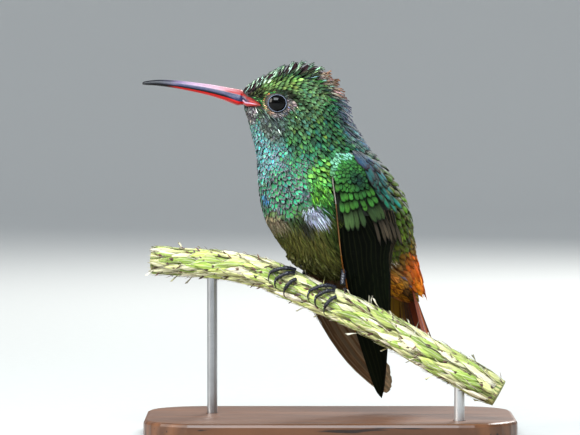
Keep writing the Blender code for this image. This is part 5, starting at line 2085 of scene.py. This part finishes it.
class Feet:
    """Legs, toes with scutes and swollen joints, and hooked claws, all round the stem."""

    def __init__(self, stem: StemSheet) -> None:
        """Hold the stem that the toes grip."""
        self.stem = stem

    def toe(self, knuckle: float, toe: Toe) -> tuple[Array, Array]:
        """A toe as a tube round the stem; its radius steps at each scute and swells at the joints.

        Args:
            knuckle: x of the foot on the stem.
            toe: which toe.

        Returns:
            Points and faces.
        """
        share = np.linspace(0, 1, 44)
        along = knuckle + ramp((toe.start_travel, toe.end_travel), share)
        across = np.radians(ramp((toe.start, toe.end), share))
        path = self.stem.point(along, across, GAP + TOE_RADIUS + TOE_ARCH * np.sin(share * pi))
        scutes = 0.16 * (1 - (share * 9) % 1.0)
        joints = 0.2 * sum(np.exp(-((share - place) / 0.07) ** 2) for place in TOE_JOINTS)
        return tube(path, TOE_RADIUS * (1 - 0.15 * share) * (0.9 + scutes + joints), 16)

    def claw(self, knuckle: float, toe: Toe) -> tuple[Array, Array]:
        """A claw as a tube that hooks from the toe's end to just off the stem and tapers to a point.

        Args:
            knuckle: x of the foot on the stem.
            toe: which toe.

        Returns:
            Points and faces.
        """
        share = np.linspace(0, 1, 26)
        start = toe.end + (2 if toe.end > 0 else -2)
        across = np.radians(ramp((start, toe.claw_end), share))
        along = knuckle + toe.end_travel + toe.claw_travel * share ** 1.5
        stand = (GAP + TOE_RADIUS) * (1 - share) + (GAP + 0.1) * share + 0.55 * np.sin(share * pi)
        radii = CLAW_RADIUS * 1.15 * (1 - 0.9 * share ** 0.9)
        return tube(self.stem.point(along, across, stand), radii, 14, 0.75)

    def leg(self, knuckle: float, way: Triple) -> tuple[Array, Array]:
        """A leg as a short tube with scutes, from the knuckle up into the belly.

        Args:
            knuckle: x of the foot on the stem.
            way: from the leg's foot to its top.

        Returns:
            Points and faces.
        """
        share = np.linspace(0, 1, 26)
        low = self.stem.point(np.array([knuckle]), np.zeros(1), GAP + 2 * TOE_RADIUS + LEG_RADIUS)
        scutes = 0.1 * (1 - (share * 6) % 1.0)
        return tube(low + np.array(way) * share[:, None], LEG_RADIUS * (0.95 + scutes), 16)

    def build(self, finishes: dict[str, Material]) -> None:
        """Join each foot's leg and toes, and its claws.

        Args:
            finishes: the scale and horn materials.
        """
        for side, knuckle, way in KNUCKLES:
            name = side.value
            parts = [self.leg(knuckle, way)] + [self.toe(knuckle, toe) for toe in TOES]
            foot = mesh_object(f"foot_{name}_scales", *joined(parts), finishes["foot"], "foot_scales")
            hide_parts(f"leg_{name}", *(f"toe_{name}_{n}" for n in range(1, 5)))
            parts = [self.claw(knuckle, toe) for toe in TOES]
            claws = mesh_object(f"claws_{name}_horn", *joined(parts), finishes["claw"], "claw_horn")
            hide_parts(*(f"claw_{name}_{n}" for n in range(1, 5)))


# ------------------------------------------------------------------ perch
GREENS = ((148, 170, 80), (182, 194, 104), (210, 212, 146), (224, 220, 176), (158, 178, 88), (230, 222, 194),
          (204, 206, 138), (134, 156, 72))
PALES = ((232, 228, 204), (206, 200, 156), (186, 184, 110), (222, 216, 186), (150, 140, 92))
BROWNS = ((84, 50, 54), (104, 64, 62), (66, 40, 36), (110, 80, 60))
GOLDEN_ANGLE = 2.399963


@dataclass(frozen=True)
class Cover:
    """One kind of bract or bristle; length, half and lift are its least and greatest sizes."""

    name: str
    seed: int
    count: int
    length: Pair
    half: Pair
    rise: float                # height of the tips
    lift: Pair                 # how far the tips stand off the stem
    outline: Outline
    yaw: float                 # how far they turn from the stem's way
    colours: tuple[Colour, ...]


COVERS = (
    Cover("perch_bracts", 41, 420, (5.0, 8.0), (0.6, 1.25), 0.34, (0.0, 0.08), Outline.LANCE, 0.1, GREENS),
    Cover("perch_fibres", 42, 800, (3.0, 7.0), (0.06, 0.13), 0.7, (0.0, 0.15), Outline.HAIR, 0.16, PALES),
    Cover("perch_flecks", 44, 360, (0.8, 2.6), (0.14, 0.36), 1.0, (0.0, 0.06), Outline.LANCE, 0.45, BROWNS),
    Cover("perch_bristles", 43, 60, (2.5, 5.0), (0.08, 0.14), 0.5, (0.8, 2.6), Outline.LANCE, 0.6, PALES),
)


class Perch:
    """The cut stem: a ribbed core wrapped in fibrous bracts, with curled bristles."""

    def __init__(self, stem: StemSheet) -> None:
        """Hold the stem's sheet."""
        self.stem = stem

    def core(self, finish: Material) -> None:
        """The stem itself: a grid round the sheet, ribbed by waves of its angle, with cut ends.

        Args:
            finish: the stem's material.
        """
        along, across = np.meshgrid(np.linspace(STEM_START, STEM_END, 260),
                                    np.linspace(0, 2 * pi, 64, endpoint=False), indexing="ij")
        ribs = 0.06 * np.sin(across * 17 + 0.35 * along) + 0.1 * ripples(along / 5, across * 0.9, 5)
        grid = pinched(self.stem.point(along, across, ribs - 0.32))
        piece = mesh_object("perch_core", grid.reshape(-1, 3), outward(grid, closed_grid(*grid.shape[:2])),
                            finish, "stem_bracts", self.stem.unwrap(twice(along), twice(across)))
        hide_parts("perch_stem")

    def lay(self, kind: Cover, finish: Material) -> None:
        """Lay one kind of bract or bristle all round the stem, tips towards its left end.

        Args:
            kind: what is laid.
            finish: the material.
        """
        draw, count = np.random.default_rng(kind.seed), kind.count
        order = np.arange(count)
        low, high = STEM_START + kind.length[0] * 0.8, STEM_END - 0.2
        along = low + (high - low) * (order + draw.uniform(0, 1, count)) / count
        across = (order * GOLDEN_ANGLE + draw.normal(0, 0.25, count)) % (2 * pi)
        long = np.minimum(draw.uniform(*kind.length, count), along - STEM_START + 0.6)
        laid = Laid(along, across, -long, draw.uniform(*kind.half, count), np.full(count, 0.25),
                    draw.uniform(0.1, kind.rise, count), draw.uniform(*kind.lift, count),
                    draw.normal(0, kind.yaw, count), draw.normal(0, 0.12, count), np.ones(count))
        points = drape(self.stem, laid, kind.outline, SMALL, 0.05, 0.3, 0.02, draw)[:, :, ::-1]
        colours = palette(kind.colours)
        tint = colours[draw.integers(0, len(colours), count)] * draw.uniform(0.75, 1.25, (count, 1))
        fringe = np.array(linear(234, 226, 204)) * draw.uniform(0.7, 1.1, (count, 1))
        trait = trait_rows(draw.uniform(0.05, 0.25, count), 0.0, count, draw)
        vanes = Vanes(points, BACKWARDS, self.stem.unwrap(along, across), tint, fringe, trait,
                      kind.outline.rows)
        vanes.build(kind.name, finish, "stem_bracts")

    def build(self, finishes: dict[str, Material]) -> None:
        """Make the core, the bracts and the bristles.

        Args:
            finishes: the stem and bract materials.
        """
        self.core(finishes["stem"])
        for kind in COVERS:
            self.lay(kind, finishes["bract"])


# ------------------------------------------------------------------ finishes
@dataclass(frozen=True)
class Horn:
    """A mandible's horn in display colours."""

    name: str
    stops: tuple[tuple[float, Colour], ...]      # places along the bill and their colours
    edge: Colour                                 # the cutting edge
    edge_width: float                            # how far up the side it reaches
    band: Colour                                 # a dusky band along the side, over the cutting edge
    slit: Colour                                 # round the nostril


# painted highlight: the pale pink and lilac from a quarter to half way along the upper mandible stand partly
# for a reflection along its top, over the horn's own pink towards the root
UPPER_HORN = Horn("upper_mandible", (
    (0.0, (150, 66, 64)), (0.08, (172, 112, 116)), (0.25, (184, 146, 160)), (0.5, (166, 140, 164)),
    (0.62, (116, 100, 130)), (0.72, (58, 56, 72)), (0.84, (26, 28, 34)), (1.0, (6, 6, 8))),
    (6, 5, 7), 0.3, (44, 46, 78), (150, 14, 10))
LOWER_HORN = Horn("lower_mandible", (
    (0.0, (130, 16, 10)), (0.12, (200, 10, 3)), (0.6, (184, 8, 4)), (0.7, (90, 14, 8)),
    (0.76, (10, 6, 6)), (1.0, (5, 5, 5))), (14, 6, 6), 0.05, (196, 8, 3), (170, 12, 8))
LOW_SHINE, NO_SHINE = 0.2, 0.06                  # how strongly feathers reflect


@dataclass(frozen=True)
class Finishes:
    """Every material in the model, made once."""

    pattern: VanePattern = field(default_factory=VanePattern)

    def feathers(self) -> dict[str, Material]:
        """The feather materials: small coat, wing coverts, flight feathers, tail and bracts.

        Returns:
            The materials by name.
        """
        make = self.pattern.material
        return {
            "coat": make("coat_feather", 5.0, 0.6, 0.3, 0.1, 0.5, 0.05, 0.7, LOW_SHINE),
            "soft": make("soft_feather", 9.0, 0.3, 0.72, 0.15, 0.5, 0.03, 0.3, LOW_SHINE),
            "barred_covert": make("barred_covert_feather", 2.4, 0.9, 0.85, 0.2, 0.5, 0.03, 0.4, LOW_SHINE),
            "covert": make("covert_feather", 9.0, 0.5, 0.2, 0.3, 0.5, 0.05, 0.75, LOW_SHINE),
            "flight": make("flight_feather", 46.0, 0.4, 0.5, 0.5, 0.3, 0.03, 0.6, NO_SHINE),
            "rectrix": make("tail_feather", 34.0, 0.35, 0.8, 0.5, 0.45, 0.03, 0.6, LOW_SHINE),
            "barred": make("barred_feather", 9.0, 0.8, 0.85, 0.3, 0.5, 0.03, 0.4, LOW_SHINE),
            "bract": make("bract_fibre", 2.0, 0.35, 0.85, 0.4, 0.4, 0.05, 0.3, LOW_SHINE),
        }

    def skin(self) -> Material:
        """Skin in the plumage's own colours, dimmed as painted shade for the gaps between feathers and
        mottled darker by soft noise, pebbled where it is bare.

        Returns:
            The material.
        """
        made, t, shader = new_material("bird_skin", Roughness=0.65)
        pebble = t.node("TexVoronoi", None, Vector=t.here(), Scale=2600.0).outputs[0]
        # painted shade: the tint is darkened again, unevenly, by a soft noise
        wire(t, shader, t.shade(t.attribute("tint"), t.plus(t.noise(900.0), 0.5, 0.3)),
             normal=t.bump(pebble, 0.5, 0.08))
        return made

    def eye(self) -> Material:
        """A wet dark eye: a black pupil in a brown iris that fades to black at the rim.

        Returns:
            The material.
        """
        made, t, shader = new_material("eye_gloss", Roughness=0.05, IOR=1.33, Specular_IOR_Level=0.36)
        around, tilt = t.place("UVMap")
        streaks = t.noise(30.0, 2.0, t.pair(t.times(around, 3.0), tilt))
        iris = t.mix(streaks, (0.0006, 0.0006, 0.0006), (0.0016, 0.0012, 0.001))
        ring = t.times(t.step(tilt, 0.09, 0.11), t.step(tilt, 0.27, 0.2))
        wire(t, shader, t.mix(ring, (0.0005, 0.0005, 0.0007), iris))
        return made

    def horn(self, horn: Horn) -> Material:
        """Horn with colours from the root to the tip, streaks along it and a dark cutting edge.

        Args:
            horn: its colours.

        Returns:
            The material.
        """
        made, t, shader = new_material(horn.name, Roughness=0.3, Specular_IOR_Level=0.25)
        across, along = t.place("UVMap")
        ramp_node = t.node("ValToRGB", None, Fac=along)
        elements = ramp_node.color_ramp.elements
        elements.remove(elements[1])
        for number, (place, colour) in enumerate(horn.stops):
            element = elements.new(place) if number else elements[0]
            element.position, element.color = place, (*linear(*colour), 1.0)
        streaks = t.noise(2.2, 4.0, t.pair(t.times(across, 9.0), t.times(along, 14.0)))
        colour = t.shade(ramp_node.outputs[0], t.plus(streaks, 0.7, 0.65))
        side = t.times(t.step(t.plus(streaks, 0.12, across), 0.42, 0.56), t.step(along, 0.74, 0.62))
        near = t.step(t.math("ABSOLUTE", t.less(across, 0.36)), 0.1, 0.04)
        nostril = t.times(near, t.step(along, 0.2, 0.1))
        low = t.step(across, 1 - horn.edge_width, 1 - horn.edge_width * 0.35)
        rim = t.times(low, t.step(along, 0.04, 0.16))
        for mask, over in ((side, horn.band), (nostril, horn.slit), (rim, horn.edge)):
            colour = t.mix(mask, colour, linear(*over))
        wire(t, shader, colour, t.plus(streaks, 0.25, 0.18), t.bump(streaks, 0.4, 0.06))
        return made

    def gape(self) -> Material:
        """Soft horn at the gape: pink above, a dark line, a lilac band that is a painted highlight on the
        lower mandible's edge, and red below that pales at the corner.

        Returns:
            The material.
        """
        made, t, shader = new_material("gape_horn", Roughness=0.38)
        along, across = t.place("UVMap")
        mottle = t.noise(1500.0)

        def mottled(dark: Colour, light: Colour) -> Socket:
            """A colour between two, by the mottle."""
            return t.mix(mottle, linear(*dark), linear(*light))

        slit = t.mix(t.step(along, 0.5, 0.12), mottled((120, 8, 6), (176, 18, 12)), linear(40, 40, 66))
        colour = t.mix(t.step(across, 0.2, 0.3), mottled((60, 10, 10), (150, 40, 34)), slit)
        # painted highlight: the lilac band just under the crease stands for a reflection on the lower
        # mandible's edge
        colour = t.mix(t.step(across, 0.46, 0.52), colour, mottled((150, 110, 132), (190, 156, 176)))
        colour = t.mix(t.step(across, 0.58, 0.66), colour, mottled((134, 10, 6), (178, 26, 16)))
        colour = t.mix(t.step(along, 0.55, 0.95), colour, mottled((90, 16, 12), (160, 56, 40)))
        wire(t, shader, colour, normal=t.bump(mottle, 0.4, 0.05))
        return made

    def foot(self) -> Material:
        """Black scales, bluish in the middle of each scale as a painted sheen that comes and goes with a soft
        noise, and black at the edges.

        Returns:
            The material.
        """
        made, t, shader = new_material("foot_scales", Roughness=0.3)
        cells = t.node("TexVoronoi", {"feature": "DISTANCE_TO_EDGE"}, Vector=t.here(),
                       Scale=1900.0).outputs[0]
        edge, sheen_noise = t.step(cells, 0.02, 0.14), t.noise(500.0)
        # painted sheen: a soft noise brightens the middle of each scale towards a bluish grey
        wire(t, shader, t.mix(t.times(sheen_noise, edge), linear(6, 6, 9), linear(38, 40, 58)),
             t.plus(sheen_noise, 0.25, 0.15), t.bump(edge, 0.6, 0.05))
        return made

    def claw(self) -> Material:
        """Dark polished horn with faint growth lines.

        Returns:
            The material.
        """
        made, t, shader = new_material("claw_horn", Roughness=0.2)
        lines = t.noise(1400.0, 4.0)
        wire(t, shader, t.mix(lines, linear(5, 5, 8), linear(24, 24, 34)), t.plus(lines, 0.2, 0.12),
             t.bump(lines, 0.3, 0.03))
        return made

    def stem(self) -> Material:
        """Green and straw fibres that run along the stem, with purple-brown flecks.

        Returns:
            The material.
        """
        made, t, shader = new_material("stem_core", Roughness=0.75)
        across, along = t.place("UVMap")
        fibre = t.noise(1.0, 5.0, t.pair(t.times(across, 46.0), t.times(along, 7.0)))
        colour = t.mix(t.step(fibre, 0.35, 0.65), linear(84, 104, 38), linear(196, 188, 128))
        colour = t.mix(t.step(t.noise(260.0), 0.62, 0.72), colour, linear(92, 58, 62))
        wire(t, shader, colour, t.plus(fibre, 0.3, 0.55), t.bump(fibre, 0.8, 0.2))
        return made

    def wood(self) -> Material:
        """Satin walnut: long grain, fine pores and a slightly worn sheen.

        Returns:
            The material.
        """
        made, t, shader = new_material("stand_base_wood", Roughness=0.4)
        place = t.stretched(14.0, 120.0, 60.0)
        warp = t.noise(1.6, 4.0, place)
        grain = t.node("TexWave", {"wave_type": "BANDS", "bands_direction": "Y"}, Vector=place, Scale=0.9,
                       Distortion=7.0, Detail=4.0, Detail_Scale=1.4).outputs[0]
        pores = t.noise(1.0, 2.0, t.stretched(60.0, 1500.0, 900.0))
        colour = t.mix(t.plus(warp, 0.6, t.times(grain, 0.4)), linear(58, 34, 22), linear(122, 78, 48))
        colour = t.mix(t.step(pores, 0.62, 0.72), colour, linear(34, 20, 14))
        wire(t, shader, colour, t.plus(warp, 0.25, 0.26), t.bump(t.plus(pores, -0.5, grain), 0.25, 0.05))
        return made

    def steel(self) -> Material:
        """Brushed steel: fine lines round each rod and soft smudges.

        Returns:
            The material.
        """
        made, t, shader = new_material("stand_rod_steel", Metallic=1.0, Roughness=0.3)
        lines = t.noise(1.0, 3.0, t.stretched(200.0, 200.0, 9000.0))
        wire(t, shader, t.mix(t.noise(260.0), linear(150, 150, 152), linear(196, 196, 198)),
             t.plus(lines, 0.25, 0.2), t.bump(lines, 0.2, 0.02))
        return made


# ------------------------------------------------------------------ stand and studio
def dress_stand(wood: Material, steel: Material) -> None:
    """Give the stand's base and left rod a detailed finish; the right rod keeps its plain steel.

    Args:
        wood: the base's material.
        steel: the rod's material.
    """
    for name, finish in (("stand_base", wood), ("stand_rod_left", steel)):
        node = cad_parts[name]
        for each in node.material_slots:
            each.material = finish
        if not node.material_slots:
            node.data.materials.append(finish)


@dataclass(frozen=True)
class Studio:
    """A pale bowl of floor, soft lights and the camera."""

    view_centre: Triple = (-9.3, 0.0, 50.5)
    view_width: float = 134.9
    distance: float = 1000.0
    elevation: float = 2.0
    floor_flat: float = 1500.0
    floor_reach: float = 2900.0
    floor_rise: float = 1500.0

    def floor(self) -> None:
        """The floor: a profile turned round +Z, flat in the middle and curved up at its edge."""
        turn = np.linspace(0, pi / 2, 24)[1:]
        radius = np.concatenate([np.linspace(1.0, self.floor_flat, 8),
                                 self.floor_flat + (self.floor_reach - self.floor_flat) * np.sin(turn)])
        height = np.concatenate([np.zeros(8), self.floor_rise * (1 - np.cos(turn))])[:, None]
        angle = np.linspace(0, 2 * pi, 128, endpoint=False)
        radius = radius[:, None]
        points = np.stack(np.broadcast_arrays(radius * np.cos(angle), radius * np.sin(angle), height), -1)
        made, t, shader = new_material("studio_paper", Roughness=0.9)
        length = t.node("VectorMath", {"operation": "LENGTH"}, _0=t.here()).outputs["Value"]
        near = t.mix(t.noise(300.0, 2.0), linear(172, 174, 172), linear(178, 180, 178))
        wire(t, shader, t.mix(t.step(length, 0.2, 1.6), near, linear(232, 233, 231)))
        mesh = bpy.data.meshes.new("studio_floor")
        quads = grid_quads(len(radius), len(angle), True)
        mesh.from_pydata((points.reshape(-1, 3) * MM).tolist(), [], quads.tolist())
        mesh.shade_smooth()
        mesh.materials.append(made)
        self.place("studio_floor", mesh)

    def place(self, name: str, data: bpy.types.ID, where: Vector | None = None) -> bpy.types.Object:
        """Link an object to the scene, at the origin or where it faces the bird.

        Args:
            name: the object's name.
            data: its mesh, light or camera.
            where: its place in metres, or None for the origin.

        Returns:
            The object.
        """
        made = bpy.data.objects.new(name, data)
        bpy.context.scene.collection.objects.link(made)
        if where is not None:
            aim = Vector(self.view_centre) * MM - where
            made.matrix_world = Matrix.Translation(where) @ aim.to_track_quat("-Z", "Y").to_matrix().to_4x4()
        return made

    def light(self, name: str, place: Triple, size: Pair, power: float, colour: Triple) -> None:
        """A soft panel of light that faces the bird.

        Args:
            name: the light's name.
            place: where it stands, in millimetres.
            size: its width and height in millimetres.
            power: its power in watts.
            colour: its colour.
        """
        data = bpy.data.lights.new(name, "AREA")
        data.shape, data.size, data.size_y = "RECTANGLE", size[0] * MM, size[1] * MM
        data.energy, data.color = power, colour
        self.place(name, data, Vector(place) * MM)

    def camera(self) -> None:
        """A long lens on the bird's left, a little above it."""
        data = bpy.data.cameras.new("studio_camera")
        data.sensor_width = 36.0
        data.lens = data.sensor_width * self.distance / self.view_width
        data.clip_start, data.clip_end = 0.05, 20.0
        rise = radians(self.elevation)
        where = Vector(self.view_centre) * MM + Vector((0, -cos(rise), sin(rise))) * self.distance * MM
        bpy.context.scene.camera = self.place("studio_camera", data, where)

    def build(self) -> None:
        """Set up the floor, the lights, the sky and the camera."""
        self.floor()
        self.light("key_light", (-120, -620, 760), (760, 440), 18.0, (0.86, 0.94, 1.0))
        self.light("side_light", (-760, -300, 420), (300, 500), 6.0, (1.0, 0.95, 0.88))
        self.light("back_light", (300, 620, 560), (380, 380), 8.0, (1.0, 0.99, 0.97))
        world = bpy.data.worlds.new("studio_sky")
        world.use_nodes = True
        colour, strength = world.node_tree.nodes["Background"].inputs[:2]
        colour.default_value, strength.default_value = (0.86, 0.92, 1.0, 1.0), 0.32
        bpy.context.scene.world = world
        bpy.context.scene.view_settings.view_transform = "Standard"
        self.camera()


def main() -> None:
    """Build the studio, the bird, its perch and its stand, in that order."""
    logging.basicConfig(level=logging.INFO, format="%(message)s")
    Studio().build()
    body, stem, plumage, finishes = Body(), StemSheet(), Plumage(), Finishes()
    feathers = finishes.feathers()
    eyes, gape, wings = Eyes(body), Gape(body), [Wing(body, side) for side in Side]
    Skin(body, eyes, wings, stem, plumage).build(finishes.skin())
    log.info("skin")
    eyes.build(finishes.eye())
    gape.build(finishes.gape())
    Bill(body).build({"upper": finishes.horn(UPPER_HORN), "lower": finishes.horn(LOWER_HORN)})
    log.info("eyes and bill")
    coat = Coat(body, eyes, gape, wings, stem, plumage)
    coat.eye_ring(feathers["coat"])
    for seed, tract in enumerate(TRACTS, 101):
        coat.build(tract, seed, feathers[tract.finish])
    for seed, wing in enumerate(wings, 11):
        wing.build(feathers, seed)
    Tail(body).build(feathers, 21)
    log.info("wings and tail")
    Feet(stem).build({"foot": finishes.foot(), "claw": finishes.claw()})
    Perch(stem).build({"stem": finishes.stem(), "bract": feathers["bract"]})
    dress_stand(finishes.wood(), finishes.steel())
    log.info("feet, perch and stand")


if __name__ == "__main__":
    main()
